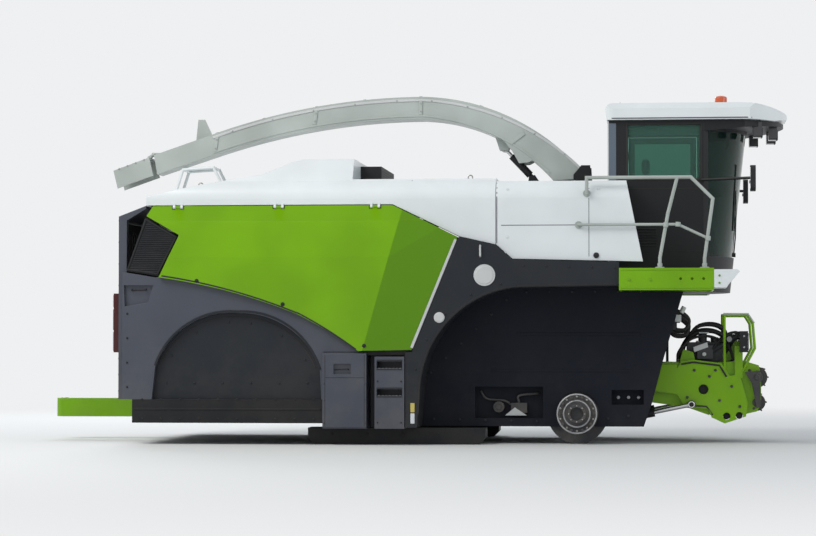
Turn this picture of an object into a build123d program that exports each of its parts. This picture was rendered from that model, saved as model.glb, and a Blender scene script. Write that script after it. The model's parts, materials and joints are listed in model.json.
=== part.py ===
from build123d import *
import math
import os

# Self-propelled forage harvester, parked on its final drives and belly skids,
# with its wheels or tracks off. Millimetres. +X points forward, +Y to the
# left, +Z up, and z = 0 is the floor. The origin is on the floor under the
# middle of the machine. Lengths along the machine are given ahead of the
# front hub's centre, so what lies behind it is negative. Pieces are drawn for
# the right side, at negative y, and mirrored for the left one.

os.makedirs("parts", exist_ok=True)

# Whole machine
overall_length = 7540.0
front_overhang = 2100.0
half_width = 1500.0
hub_x = overall_length / 2 - front_overhang
hub_z = 300.0
hitch_tip = front_overhang - overall_length
run_gap = 0.3
fit_gap = 0.05
swing_gap = 6.0
sheet = 30.0
past = 5.0

# Chassis
rail_inner = 380.0
rail_width = 120.0
rail_low = 560.0
rail_high = 860.0
rail_front = 300.0
rail_rear = -4350.0
arm_low = 600.0
arm_high = 720.0
arm_length = 100.0
post_size = 80.0
post_outer = half_width - 180.0
tray_low = 210.0
tray_high = 440.0
tray_front = -2460.0
skid_inner = 900.0
skid_width = 300.0
skid_high = 160.0
skid_rear = -2640.0
skid_front = -890.0

# Side skins, from the inside out
arch_panel_y = half_width - 160.0
fender_inner = half_width - 120.0
hood_half = half_width - 85.0
fender_outer = half_width - 60.0
panel_inner = fender_outer + swing_gap
front_skin = half_width - 40.0
panel_outer = half_width - 10.0
hinge_ring = 14.0
hinge_pin = 8.0

# Front wheel arch
wall_y = 880.0
wall_thick = 40.0
wall_low = 170.0
post_y = wall_y - post_size

# Hood and white body
hood_low = 2345.0
deck_z = 2570.0
hood_deck = 2600.0
hood_crest = 2810.0
hood_rear = -4220.0
hood_step = -2190.0
hood_split = -770.0
shoulder_low = 2400.0

# Platforms
platform_rear = 420.0
platform_front = 1330.0

# Cab
cab_rear = 300.0
cab_half = 800.0
cab_side_front = 1250.0
cab_nose_low = 1520.0
cab_nose_high = 1710.0
cab_wall = 40.0
floor_low = 1500.0
floor_z = 1715.0
roof_z = 3200.0
roof_thick = 170.0
roof_top = roof_z + roof_thick
window_top = roof_z - 50.0
glass_thick = 8.0

# Discharge spout
turret_x = -100.0
turret_r = 280.0
spout_half = 200.0
spout_end_half = 150.0
spout_wall = 12.0
spout_end = -3800.0
extension_end = -4400.0

# Intake
intake_half = 480.0
intake_plate = 40.0
cheek_plate = 30.0
intake_pivot = (420.0, 660.0)
pin_r = 30.0


def ahead(distance):
    return hub_x + distance


def block(x0, x1, y0, y1, z0, z1):
    """Box between two corners; x0 and x1 are ahead of the front hub."""
    middle = ((ahead(x0) + ahead(x1)) / 2, (y0 + y1) / 2, (z0 + z1) / 2)
    return Pos(*middle) * Box(abs(x1 - x0), abs(y1 - y0), abs(z1 - z0))


def outline(steps, place):
    """Closed face; a step is a corner, or (via, end) for an arc."""
    edges = []
    here = steps[0]
    for step in steps[1:]:
        if isinstance(step[0], tuple):
            via, end = step
            edges.append(ThreePointArc(place(here), place(via), place(end)))
        else:
            end = step
            edges.append(Line(place(here), place(end)))
        here = end
    if here != steps[0]:
        edges.append(Line(place(here), place(steps[0])))
    return Face(Wire(edges))


def side_plate(steps, y0, y1):
    """Outline of (ahead of hub, height) corners, thick from y0 to y1."""
    face = outline(steps, lambda p: (ahead(p[0]), y0, p[1]))
    return extrude(face, amount=y1 - y0, dir=(0, 1, 0))


def plan_plate(steps, z0, z1):
    """Outline of (ahead of hub, sideways) corners, thick from z0 to z1."""
    face = outline(steps, lambda p: (ahead(p[0]), p[1], z0))
    return extrude(face, amount=z1 - z0, dir=(0, 0, 1))


def cross_plate(steps, x0, x1):
    """Outline of (sideways, height) corners, long from x0 to x1."""
    face = outline(steps, lambda p: (ahead(x0), p[0], p[1]))
    return extrude(face, amount=x1 - x0, dir=(1, 0, 0))


def bar(start, end, radius):
    """Round bar between two (ahead of hub, sideways, height) points."""
    a = Vector(ahead(start[0]), start[1], start[2])
    b = Vector(ahead(end[0]), end[1], end[2])
    plane = Plane(origin=a, z_dir=b - a)
    return extrude(plane * Circle(radius), amount=(b - a).length)


def tube_run(points, radius):
    """Bent tube along (ahead of hub, sideways, height) points."""
    spots = [Vector(ahead(x), y, z) for x, y, z in points]
    ring = Plane(origin=spots[0], z_dir=spots[1] - spots[0]) * Circle(radius)
    if len(spots) == 2:
        return bar(points[0], points[1], radius)
    return sweep(ring, path=Polyline(*spots), transition=Transition.RIGHT)


def other_side(shape):
    return mirror(shape, about=Plane.XZ)


def save(node, shape):
    export_step(shape, "parts/" + node + ".step")


def save_both(node, right):
    """One node for like pieces on both sides of the machine."""
    save(node, Compound(list(right.solids()) + list(other_side(right).solids())))


def save_pair(node, right):
    """The right side lies at negative y; the left is its mirror image."""
    save(node + "_right", right)
    save(node + "_left", other_side(right))


def knuckle(point, axis, length, radius, pin):
    """Hinge at a point: the fixed cheeks with their pin, and the moving ring."""
    plane = Plane(origin=(ahead(point[0]), point[1], point[2]), z_dir=axis)
    cheek = length / 4
    ring = extrude(plane * Circle(radius), amount=length / 2 - cheek - run_gap, both=True)
    ring = ring - extrude(plane * Circle(pin + fit_gap), amount=length, both=True)
    outer = extrude(plane * Circle(radius), amount=length / 2, both=True)
    inner = extrude(plane * Circle(radius), amount=length / 2 - cheek, both=True)
    fixed = outer - inner + extrude(plane * Circle(pin), amount=length / 2, both=True)
    return fixed, ring


# Outriggers: (rear face, half length)
outriggers = [
    (rail_rear, fender_inner),
    (-4210.0, arch_panel_y),
    (-2560.0, arch_panel_y),
    (-1660.0, fender_inner),
    (-700.0, wall_y),
    (rail_front - arm_length, wall_y),
]


def chassis_frame():
    frame = None
    for side in (-1, 1):
        near = side * rail_inner
        far = side * (rail_inner + rail_width)
        rail = block(rail_rear, rail_front, min(near, far), max(near, far), rail_low, rail_high)
        frame = rail if frame is None else frame + rail
    for rear, half in outriggers:
        frame = frame + block(rear, rear + arm_length, -half, half, arm_low, arm_high)
    for side in (-1, 1):
        outer = side * (intake_half + pin_r + 10.0)
        inner = side * (intake_half + run_gap)
        ear = block(rail_front - 60.0, intake_pivot[0] + 70.0, min(inner, outer),
                    max(inner, outer), rail_low, intake_pivot[1] + 70.0)
        frame = frame + ear
    bore = bar((intake_pivot[0], -intake_half - 60.0, intake_pivot[1]),
               (intake_pivot[0], intake_half + 60.0, intake_pivot[1]), pin_r + fit_gap)
    return frame - bore


rear_posts = (-4200.0, -2550.0, -1650.0)
front_posts = (-690.0, cab_rear - post_size)
deck_arm_outer = 1230.0


def body_frame():
    """Posts on the outriggers, with the rails that carry the hood and deck."""
    inner = post_outer - post_size
    high = hood_low - 25.0
    right = block(rear_posts[0], rear_posts[-1] + post_size, -post_outer, -inner, high - post_size, high)
    for x in rear_posts:
        right = right + block(x, x + post_size, -post_outer, -inner, arm_high, high)
    for x in front_posts:
        right = right + block(x, x + post_size, -wall_y, -post_y, arm_high, deck_z - sheet)
        right = right + block(x, x + post_size, -deck_arm_outer, -post_y,
                              deck_z - sheet - post_size, deck_z - sheet)
    return right


def belly_tray():
    tray = block(rail_rear, tray_front, -fender_outer, fender_outer, tray_low, tray_high)
    for side in (-1, 1):
        a = side * rail_inner
        b = side * (rail_inner + rail_width)
        tray = tray + block(rail_rear, tray_front, min(a, b), max(a, b), tray_high, rail_low)
    return tray


def belly_skids():
    right = side_plate([(skid_rear, skid_high), (skid_rear, 60.0), (skid_rear + 60.0, 0.0),
                        (skid_front - 60.0, 0.0), (skid_front, 60.0), (skid_front, skid_high)],
                       -skid_inner - skid_width, -skid_inner)
    return right


axle_r = 130.0
eye_half = 30.0
lug_thick = 12.0
cyl_base = (200.0, 190.0)
cyl_eye = (1120.0, 380.0)
cyl_y = -560.0
cyl_pin = 16.0
drum_r = hub_z
drum_inner = 640.0


def front_axle():
    axle = bar((0, -drum_inner, hub_z + 60.0), (0, drum_inner, hub_z + 60.0), axle_r)
    gearbox = Pos(ahead(0), 0, hub_z + 90.0) * Box(420.0, 420.0, 400.0)
    axle = axle + chamfer(gearbox.edges(), 40.0)
    for side in (-1, 1):
        axle = axle + bar((0, side * drum_inner, hub_z), (0, side * wall_y, hub_z), drum_r)
        a = side * (rail_inner + 10.0)
        b = side * (rail_inner + rail_width - 10.0)
        axle = axle + block(-110.0, 110.0, min(a, b), max(a, b), hub_z + 60.0, rail_low)
        for near in (-eye_half - run_gap - lug_thick, eye_half + run_gap):
            low = side * cyl_y + near
            axle = axle + side_plate([(0.0, 300.0), (60.0, 440.0), (225.0, 215.0), (225.0, 165.0),
                                      (170.0, 160.0)], low, low + lug_thick)
        reach = eye_half + lug_thick
        axle = axle + bar((cyl_base[0], side * cyl_y - reach, cyl_base[1]),
                          (cyl_base[0], side * cyl_y + reach, cyl_base[1]), cyl_pin)
    return axle


hub_flange_r = 200.0
hub_flange = 30.0
hub_reach = 1100.0
hub_neck_r = 120.0
hub_pilot_r = 140.0
hub_cap_r = 90.0
stud_circle_r = 167.5
# Both hubs turn on one line. The left studs are a little thicker, so that each ring reads as its own mount.
right_stud_r = 11.0
left_stud_r = 11.5
stud_length = 60.0
stud_count = 10


def hub(stud_r):
    """Wheel hub: neck, flange and hollow pilot, with a ring of studs."""
    face = -hub_reach
    turned = bar((0, -wall_y - run_gap, hub_z), (0, face + hub_flange, hub_z), hub_neck_r)
    turned = turned + bar((0, face + hub_flange, hub_z), (0, face, hub_z), hub_flange_r)
    turned = turned + bar((0, face, hub_z), (0, face - 25.0, hub_z), hub_pilot_r)
    turned = turned + bar((0, face - 25.0, hub_z), (0, face - 70.0, hub_z), hub_cap_r)
    turned = turned - bar((0, face - 20.0, hub_z), (0, face - 70.0 - past, hub_z), hub_cap_r - 25.0)
    for i in range(stud_count):
        angle = 2 * math.pi * i / stud_count
        x = stud_circle_r * math.cos(angle)
        z = hub_z + stud_circle_r * math.sin(angle)
        turned = turned + bar((x, face, z), (x, face - stud_length, z), stud_r)
    return turned


def engine_block():
    return block(-3700.0, -2300.0, -700.0, 700.0, rail_high, 1900.0)


tower_half = 420.0
tower_rear = -450.0
tower_front = 250.0
tower_high = deck_z - sheet


def chute_tower():
    """Drum housing and discharge shaft, closed, up to the spout's turret."""
    return block(tower_rear, tower_front, -tower_half, tower_half, rail_high, tower_high)


hitch_half = 80.0
hitch_low = 230.0
hitch_high = 420.0
hitch_bore_r = 26.0
hitch_bore_x = hitch_tip + 80.0


def hitch_beam():
    beam = block(hitch_tip, rail_rear, -hitch_half, hitch_half, hitch_low, hitch_high)
    tip = beam.edges().filter_by(Axis.Z).sort_by(Axis.X)[:2]
    beam = fillet(tip, 70.0)
    hole = bar((hitch_bore_x, 0, 0), (hitch_bore_x, 0, rail_low), hitch_bore_r)
    return beam - hole


door_half = fender_inner - 100.0
wall_foot_inner = fender_inner - 230.0
door_low = 960.0
door_high = 2180.0
wall_rear = -4500.0
door_pin = (wall_rear - 20.0, door_half + 20.0)
door_knuckles = (1150.0, 2000.0)


def rear_wall():
    """Frame round the rear grille: two posts, a sill and a header."""
    frame = block(wall_rear, wall_rear + 80.0, -fender_inner, fender_inner, tray_high, 2240.0)
    frame = frame - block(wall_rear - 5.0, wall_rear + 90.0, -door_half - swing_gap,
                          door_half + swing_gap, door_low - swing_gap, door_high + swing_gap)
    slope = [(wall_rear, 2200.0), (wall_rear, 2240.0), (hood_rear - swing_gap, hood_low),
             (hood_rear - swing_gap, hood_low - sheet), (wall_rear + 80.0, 2200.0)]
    frame = frame + side_plate(slope, -fender_inner, fender_inner)
    for side in (-1, 1):
        a = side * wall_foot_inner
        b = side * fender_inner
        frame = frame + block(wall_rear + 80.0, rail_rear, min(a, b), max(a, b), tray_high,
                              tray_high + 200.0)
    for z in door_knuckles:
        fixed, ring = knuckle((door_pin[0], door_pin[1], z), (0, 0, 1), 120.0, 14.0, 8.0)
        web = block(door_pin[0], wall_rear, door_pin[1] + 4.0, door_pin[1] + 14.0, z - 60.0, z - 31.0)
        web = web + block(door_pin[0], wall_rear, door_pin[1] + 4.0, door_pin[1] + 14.0,
                          z + 31.0, z + 60.0)
        frame = frame + fixed + web
    return frame


def rear_door():
    """Hinged radiator grille: a framed panel with upright slots."""
    door = block(wall_rear, wall_rear + 40.0, -door_half, door_half, door_low, door_high)
    count = 22
    pitch = (2 * door_half - 160.0) / count
    for i in range(count):
        y = -door_half + 80.0 + pitch * (i + 0.5)
        door = door - block(wall_rear - 5.0, wall_rear + 45.0, y - 22.0, y + 22.0,
                            door_low + 80.0, door_high - 80.0)
    for z in door_knuckles:
        fixed, ring = knuckle((door_pin[0], door_pin[1], z), (0, 0, 1), 120.0, 14.0, 8.0)
        tab = block(door_pin[0] - 6.0, wall_rear, door_half - 40.0, door_pin[1] - 9.0, z - 29.0, z + 29.0)
        door = door + ring + tab
    return door


# The side panel's outline: (ahead of hub, height), arcs as (via, end)
panel_top = hood_low - swing_gap - 1.0
panel_nose = (-1140.0, 2022.0)
panel_front_low = (-1590.0, 925.0)
panel_edge = [(-4150.0, panel_top), (-1780.0, panel_top), panel_nose, panel_front_low, (-2110.0, 915.0),
              ((-2400.0, 1105.0), (-2700.0, 1270.0)), ((-3320.0, 1480.0), (-4080.0, 1635.0)),
              (-3880.0, 2050.0), (-4210.0, 2240.0)]
# Its section, from the bottom up and back down: (sideways, height)
panel_section = [(-panel_inner, 900.0), (-panel_outer, 900.0), (-panel_outer, 1830.0),
                 (-hood_half - 47.0, 2180.0), (-hood_half - 5.0, panel_top), (-hood_half + 30.0, panel_top),
                 (-hood_half - 7.0, 2180.0), (-panel_inner, 1830.0)]
panel_hinges = (-3900.0, -2900.0, -1950.0)
panel_hinge_y = hood_half + 10.0
panel_hinge_z = hood_low - hinge_ring - swing_gap
crease_high = (-1720.0, 2170.0)
crease_low = (-2060.0, 960.0)
nose_reach = 700.0
nose_turn = 38.0


def hood_section(inset):
    """Round-shouldered cross-section of the hood and white body."""
    h = hood_half - inset
    return [(-h, 1700.0), (-h, shoulder_low),
            ((-h + 35.0, shoulder_low + 105.0 - inset), (-h + 130.0, shoulder_low + 185.0 - inset)),
            (-h + 330.0, 2860.0 - inset), (h - 330.0, 2860.0 - inset),
            (h - 130.0, shoulder_low + 185.0 - inset),
            ((h - 35.0, shoulder_low + 105.0 - inset), (h, shoulder_low)), (h, 1700.0)]


def hood_side(inset):
    """Side outline of the hood, down to the side panels."""
    return [(hood_rear + inset, hood_low), (hood_rear + inset, 2430.0 - inset),
            ((-3700.0, 2550.0 - inset), (-3110.0, 2650.0 - inset)),
            (-2900.0, 2740.0 - inset),
            ((-2780.0, 2790.0 - inset), (-2600.0, hood_crest - inset)),
            (hood_step - inset, hood_crest - inset),
            (hood_step - inset, hood_deck - inset), (hood_split - past, hood_deck - inset),
            (hood_split - past, 1950.0), (-1130.0, 2030.0), (-1780.0, hood_low)]


def hood_form(inset, front):
    """Solid of the hood's outside, or of its inside where inset is its wall."""
    form = side_plate(hood_side(inset), -hood_half, hood_half)
    return form & cross_plate(hood_section(inset), hood_rear, front)


hood_ribs = (-4100.0, -2000.0)


def hood_top():
    """White hood shell with its cross ribs and the side panels' hinge pins."""
    outer = hood_form(0.0, hood_split)
    inner = hood_form(sheet, hood_split + 50.0)
    clear = hood_half - sheet
    under = side_plate([(hood_rear + sheet, 1800.0), (hood_rear + sheet, hood_low + 1.0),
                        (hood_split + 10.0, hood_low + 1.0), (hood_split + 10.0, 1800.0)], -clear, clear)
    hood = outer - inner - under
    for x in hood_ribs:
        hood = hood + block(x, x + sheet, -clear, clear, hood_low, shoulder_low)
        hood = hood + block(x, x + sheet, -post_outer, post_outer, hood_low - 25.0, hood_low)
    pins = panel_hinge_pins()
    return hood + pins + other_side(pins)


hood_box_length = 210.0
hood_box_half = 600.0
hood_box_top = 2770.0


def hood_box():
    return block(hood_step, hood_step + hood_box_length, -hood_box_half, hood_box_half, hood_deck, hood_box_top)


white_front = 650.0
door_room_x = 440.0


def front_form():
    """Outside of the white body between hood and cab."""
    side = [(hood_split, 1950.0), (hood_split, deck_z), (490.0, deck_z), (white_front, 1780.0),
            (-610.0, 1810.0)]
    outer = side_plate(side, -hood_half, hood_half)
    outer = outer - block(door_room_x, white_front + past, cab_half, hood_half + past, 1700.0, deck_z + past)
    return outer & cross_plate(hood_section(0.0), hood_split, white_front + past)


def front_body():
    """White body, open below and for the turret, the cab and its door's swing."""
    inner = block(hood_split - past, white_front + past, -hood_half, hood_half, 1700.0, deck_z - sheet)
    inner = inner & cross_plate(hood_section(sheet), hood_split - past, white_front + past)
    body = front_form() - inner
    body = body - block(cab_rear - swing_gap, white_front + past, -cab_half - swing_gap, cab_half + swing_gap,
                        1700.0, deck_z + past)
    return body - bar((turret_x, 0, deck_z - 100.0), (turret_x, 0, deck_z + 100.0), turret_r + 20.0)


def side_panel():
    """Big engine-bay panel, hinged along its top edge, with a turned-in nose."""
    rear = panel_edge[-1][0] - past
    panel = side_plate(panel_edge, -panel_outer, -hood_half + 30.0)
    panel = panel & cross_plate(panel_section, rear, panel_nose[0] + past)
    lean = (crease_high[0] - crease_low[0]) / (crease_high[1] - crease_low[1])
    ahead_of_crease = [(crease_high[0], -panel_outer - past), (crease_high[0] + nose_reach, -panel_outer - past),
                       (crease_high[0] + nose_reach, -panel_outer + nose_turn), (crease_high[0], -panel_outer)]
    cutter = outline(ahead_of_crease, lambda p: (ahead(p[0]), p[1], crease_high[1]))
    down = Vector(-lean, 0, -1).normalized()
    panel = panel - extrude(cutter, amount=2000.0, dir=down) - extrude(cutter, amount=400.0, dir=-down)
    y = -panel_hinge_y
    z = panel_hinge_z
    for x in panel_hinges:
        panel = panel - block(x - 60.0, x + 60.0, y - 40.0, y + 30.0, z - 22.0, panel_top + past)
        fixed, ring = knuckle((x, y, z), (1, 0, 0), 100.0, hinge_ring, hinge_pin)
        tab = block(x - 24.0, x + 24.0, y - 5.0, y + 15.0, z - 35.0, z - 9.0)
        panel = panel + ring + (tab - bar((x - 50.0, y, z), (x + 50.0, y, z), hinge_pin + fit_gap))
    return panel


def panel_hinge_pins():
    """Fixed halves of the side panels' hinges, with their straps to the hood."""
    y = -panel_hinge_y
    pins = None
    for x in panel_hinges:
        fixed, ring = knuckle((x, y, panel_hinge_z), (1, 0, 0), 100.0, hinge_ring, hinge_pin)
        for end in (x - 50.0, x + 25.0):
            fixed = fixed + block(end, end + 25.0, y - 7.0, y + 20.0, panel_hinge_z, hood_low + 10.0)
        pins = fixed if pins is None else pins + fixed
    return pins


grille_edge = [(-4225.0, 2222.0), (-3900.0, 2035.0), (-4095.0, 1650.0), (-4410.0, 1700.0)]


def side_grille():
    return side_plate(grille_edge, -fender_outer, -post_outer)


rear_arch = [((-2690.0, 1050.0), (-3280.0, 1285.0)), ((-3870.0, 1115.0), (-4120.0, 760.0))]
rear_fender_edge = [(-4450.0, tray_high), (-4450.0, 1685.0), (-4415.0, 1685.0), (-4115.0, 1635.0),
                    (-4060.0, 1650.0), ((-3300.0, 1520.0), (-2680.0, 1310.0)), (-2150.0, 990.0),
                    (-2100.0, 905.0), (tray_front, 905.0), (tray_front, tray_high),
                    (tray_front - 15.0, tray_high), (-2490.0, 740.0), rear_arch[0], rear_arch[1],
                    (-4155.0, tray_high)]
rear_pocket = [(-4435.0, 1560.0), (-4140.0, 1560.0), (-4195.0, 1390.0), (-4425.0, 1350.0)]
pocket_depth = 40.0


def rear_fender():
    """Rear quarter round the closed wheel arch, under the side panel."""
    fender = side_plate(rear_fender_edge, -fender_outer, -fender_inner)
    return fender - side_plate(rear_pocket, -fender_outer - past, -fender_outer + pocket_depth)


arch_panel_edge = [(-4200.0, tray_high), (-4200.0, 800.0), ((-3940.0, 1200.0), (-3280.0, 1340.0)),
                   ((-2640.0, 1160.0), (tray_front, 800.0)), (tray_front, tray_high)]


def arch_panel():
    return side_plate(arch_panel_edge, -fender_inner, -arch_panel_y)


box_outer = half_width - 20.0
side_box_span = (tray_front, -2030.0)
step_box_span = (-1950.0, -1660.0)
box_high = 900.0
step_high = 860.0
# Foot holes: (low, high)
foot_holes = ((745.0, 815.0), (480.0, 545.0))


def side_box():
    """Tool box with a grip recess, low behind the rear arch."""
    rear, front = side_box_span
    box = block(rear, front, -box_outer, -1050.0, skid_high, box_high)
    box = chamfer(box.edges().filter_by(Axis.X).sort_by(Axis.Y)[:2], 15.0)
    grip = block(rear + 110.0, front - 150.0, -box_outer - past, -box_outer + 25.0, 690.0, 790.0)
    return box - grip


def step_box():
    """Steps in the body side, with the plate that closes the room behind them."""
    rear, front = step_box_span
    box = block(rear, front, -box_outer + 10.0, -1100.0, skid_high, step_high)
    for low, high in foot_holes:
        box = box - block(rear + 20.0, front - 20.0, -box_outer, -1200.0, low, high)
    return box + block(side_box_span[1], front, -1100.0, -1070.0, skid_high, box_high)


liner_thick = 20.0
fender_edge = [(-1655.0, wall_low), (-1655.0, 900.0), (-1584.0, 905.0), (-1583.0, 925.0), (-1133.0, 2019.0),
               (-1120.0, 2020.0), (hood_split, 1945.0), (-612.0, 1805.0), (platform_rear, 1775.0),
               (platform_rear, 1545.0), (-570.0, 1530.0), ((-1240.0, 1190.0), (-1500.0, 600.0)),
               (-1540.0, wall_low)]
liner_edge = [(platform_rear, 1545.0), (platform_rear, 1565.0), (-575.0, 1550.0),
              ((-1256.0, 1203.0), (-1520.0, 606.0)), (-1560.0, wall_low), (-1540.0, wall_low),
              (-1500.0, 600.0), ((-1240.0, 1190.0), (-570.0, 1530.0))]


def front_fender():
    """Dark panel over the front wheel arch, with the arch's liner."""
    plate = side_plate(fender_edge, -front_skin, -front_skin + 60.0)
    return plate + side_plate(liner_edge, -front_skin + 20.0, -wall_y - wall_thick)


wall_edge = [(-1560.0, wall_low), (-1520.0, 606.0), ((-1256.0, 1203.0), (-575.0, 1550.0)),
             (platform_rear, 1565.0), (platform_rear, floor_low), (1040.0, floor_low), (840.0, 820.0),
             (730.0, 400.0), (650.0, wall_low)]
# Closed recesses: (rear, front, low, high)
wall_recesses = ((-1010.0, -340.0, 250.0, 560.0), (335.0, 650.0, 385.0, 530.0))
recess_depth = 100.0
recess_wall = 20.0


def inner_wall():
    """Wall of the front wheel arch, with its recesses and the drive's hole."""
    outer = -wall_y - wall_thick
    wall = side_plate(wall_edge, outer, -wall_y)
    for rear, front, low, high in wall_recesses:
        t = recess_wall
        wall = wall + block(rear - t, front + t, -wall_y, -wall_y + recess_depth, low - t, high + t)
    for rear, front, low, high in wall_recesses:
        wall = wall - block(rear, front, outer - past, -wall_y + recess_depth - recess_wall, low, high)
    return wall - bar((0, outer - past, hub_z), (0, -wall_y + past, hub_z), hub_flange_r + 10.0)


platform_wall = 20.0
end_edge = [(platform_front, 1525.0), (platform_front, 1700.0), (1550.0, 1700.0), (1575.0, 1680.0),
            (1465.0, 1550.0), (1450.0, 1525.0)]
platform_holes = (1010.0, 1120.0, 1230.0)
platform_hole_r = 13.0


def platform():
    """Walkway beside the cab, hollow from below, with three holes in its edge."""
    t = platform_wall
    deck = block(platform_rear, platform_front, -half_width, -cab_half, floor_low, floor_z)
    deck = deck - block(platform_rear + t, platform_front - t, -half_width + t, -cab_half - t,
                        floor_low - past, floor_z - 30.0)
    for x in platform_holes:
        deck = deck - bar((x, -half_width - past, 1610.0), (x, -half_width + t + past, 1610.0), platform_hole_r)
    return deck


def platform_end():
    """Light end piece on the platform's front."""
    return side_plate(end_edge, -half_width, -cab_half - 200.0)


rail_r = 17.0
rail_y = -half_width + 50.0
rail_top = 2590.0
rail_foot = -hood_half + 10.0
# Right railing, along the whole platform: (ahead of hub, height)
rail_line = [(1110.0, rail_top), (1320.0, 2380.0), (1240.0, 1810.0), (1240.0, floor_z)]
rail_post = [(980.0, rail_top), (890.0, 2240.0), (812.0, 1810.0), (812.0, floor_z)]
rail_middle = [(985.0, 2135.0), (1272.0, 2000.0)]


def railing():
    """Right side railing: hand rail, middle rail and a post."""
    y = rail_y
    rail = tube_run([(110.0, rail_foot, 2440.0), (110.0, y, 2440.0), (110.0, y, rail_top)]
                    + [(x, y, z) for x, z in rail_line], rail_r)
    rail = rail + tube_run([(x, y, z) for x, z in rail_post], rail_r)
    return rail + tube_run([(30.0, rail_foot, 2135.0), (30.0, y, 2135.0)]
                           + [(x, y, z) for x, z in rail_middle], rail_r - 3.0)


def entry_rails():
    """Left side rails, either side of the way to the door."""
    y = -rail_y
    rear = tube_run([(110.0, -rail_foot, 2440.0), (110.0, y, 2440.0), (110.0, y, rail_top),
                     (380.0, y, rail_top), (400.0, y, 2440.0), (400.0, -rail_foot, 2440.0)], rail_r)
    front = tube_run([(1240.0, y, floor_z), (1240.0, y, 2330.0), (1306.0, y, 2330.0),
                      (1306.0, y, floor_z)], rail_r)
    return rear + front


def railings():
    rails = Compound(list(railing().solids()) + list(entry_rails().solids()))
    return rails - front_form()


def cab_plan(inset, z):
    """Plan of the cab at a height: flat rear and sides, bowed front."""
    half = cab_half - inset
    share = (z - floor_low) / (roof_z - floor_low)
    nose = cab_nose_low + (cab_nose_high - cab_nose_low) * share - inset
    steps = [(cab_rear + inset, -half), (cab_side_front, -half), ((nose, 0.0), (cab_side_front, half)),
             (cab_rear + inset, half)]
    return outline(steps, lambda p: (ahead(p[0]), p[1], z))


def cab_form(inset, low, high):
    """Solid of the cab, whose front leans forward going up."""
    return loft([cab_plan(inset, low), cab_plan(inset, high)], ruled=True)


def cab_base():
    return cab_form(0.0, floor_low, floor_z)


side_window = (500.0, 1210.0)
door_span = (480.0, 1200.0)
window_low = 2620.0
door_z = 1760.0
screen_rear = 1290.0
screen_low = 1850.0
rear_window_half = 600.0
rear_window_low = 2640.0
cab_hinge = (door_span[0] - 10.0, cab_half + 20.0)
cab_knuckles = (1950.0, 2950.0)


visor_low = 3090.0
visor_side = 1650.0
visor_nose = 2060.0


def lamp_visor():
    """Solid under the roof's front, ahead of the windscreen, for the lamps."""
    visor = plan_plate([(cab_side_front - 50.0, -cab_half + 60.0), (cab_side_front, -cab_half),
                        (visor_side, -cab_half), ((visor_nose, 0.0), (visor_side, cab_half)),
                        (cab_side_front, cab_half), (cab_side_front - 50.0, cab_half - 60.0)],
                       visor_low, roof_z)
    under = side_plate([(1100.0, visor_low - past), (1300.0, visor_low), (visor_nose + past, visor_low + 75.0),
                        (visor_nose + past, visor_low - past)], -cab_half - past, cab_half + past)
    return visor - under


def cab_hinges():
    """Fixed halves of the door's hinges, on the cab's left side."""
    halves = None
    x, y = cab_hinge
    for z in cab_knuckles:
        fixed, ring = knuckle((x, y, z), (0, 0, 1), 100.0, hinge_ring, hinge_pin)
        for low in (z - 50.0, z + 25.0):
            fixed = fixed + block(x - hinge_ring, x - 4.0, cab_half, y, low, low + 25.0)
        halves = fixed if halves is None else halves + fixed
    return halves


def cab_shell():
    """Cab walls and pillars, with the openings for the panes and the door."""
    shell = cab_form(0.0, floor_z, roof_z) + lamp_visor()
    shell = shell - cab_form(cab_wall, floor_z - past, roof_z + past)
    shell = shell - block(side_window[0], side_window[1], -cab_half - past, -cab_half + 100.0,
                          window_low, window_top)
    shell = shell - block(door_span[0], door_span[1], cab_half - 100.0, cab_half + past, door_z, window_top)
    shell = shell - block(screen_rear, cab_nose_high + 50.0, -cab_half, cab_half, screen_low, visor_low)
    shell = shell - block(cab_rear - past, cab_rear + 100.0, -rear_window_half, rear_window_half,
                          rear_window_low, window_top)
    return shell + cab_hinges()


def cab_door():
    gap = swing_gap
    door = block(door_span[0] + gap, door_span[1] - gap, cab_half - cab_wall, cab_half, door_z + gap,
                 window_top - gap)
    door = door - block(door_span[0] + 70.0, door_span[1] - 70.0, cab_half - 60.0, cab_half + 10.0,
                        door_z + 80.0, window_top - 70.0)
    for z in cab_knuckles:
        fixed, ring = knuckle((cab_hinge[0], cab_hinge[1], z), (0, 0, 1), 100.0, 14.0, 8.0)
        tab = block(cab_hinge[0] + 9.0, door_span[0] + 40.0, cab_half, cab_hinge[1] + 10.0, z - 24.0, z + 24.0)
        door = door + ring + tab
    return door


def cab_windows():
    """Fixed panes: the right side's and the rear one."""
    near = cab_wall / 2 - glass_thick / 2
    side = block(side_window[0], side_window[1], -cab_half + near, -cab_half + near + glass_thick,
                 window_low, window_top)
    rear = block(cab_rear + near, cab_rear + near + glass_thick, -rear_window_half, rear_window_half,
                 rear_window_low, window_top)
    return Compound([side, rear])


def door_glass():
    near = cab_wall / 2 - glass_thick / 2
    return block(door_span[0] + 70.0, door_span[1] - 70.0, cab_half - near - glass_thick, cab_half - near,
                 door_z + 80.0, window_top - 70.0)


def windscreen():
    """Bowed front pane, in the middle of the cab wall's thickness."""
    middle = cab_wall / 2
    band = cab_form(middle - glass_thick / 2, floor_z, roof_z)
    band = band - cab_form(middle + glass_thick / 2, floor_z - past, roof_z + past)
    return band & block(screen_rear, cab_nose_high + 50.0, -cab_half, cab_half, screen_low, visor_low)


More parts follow.
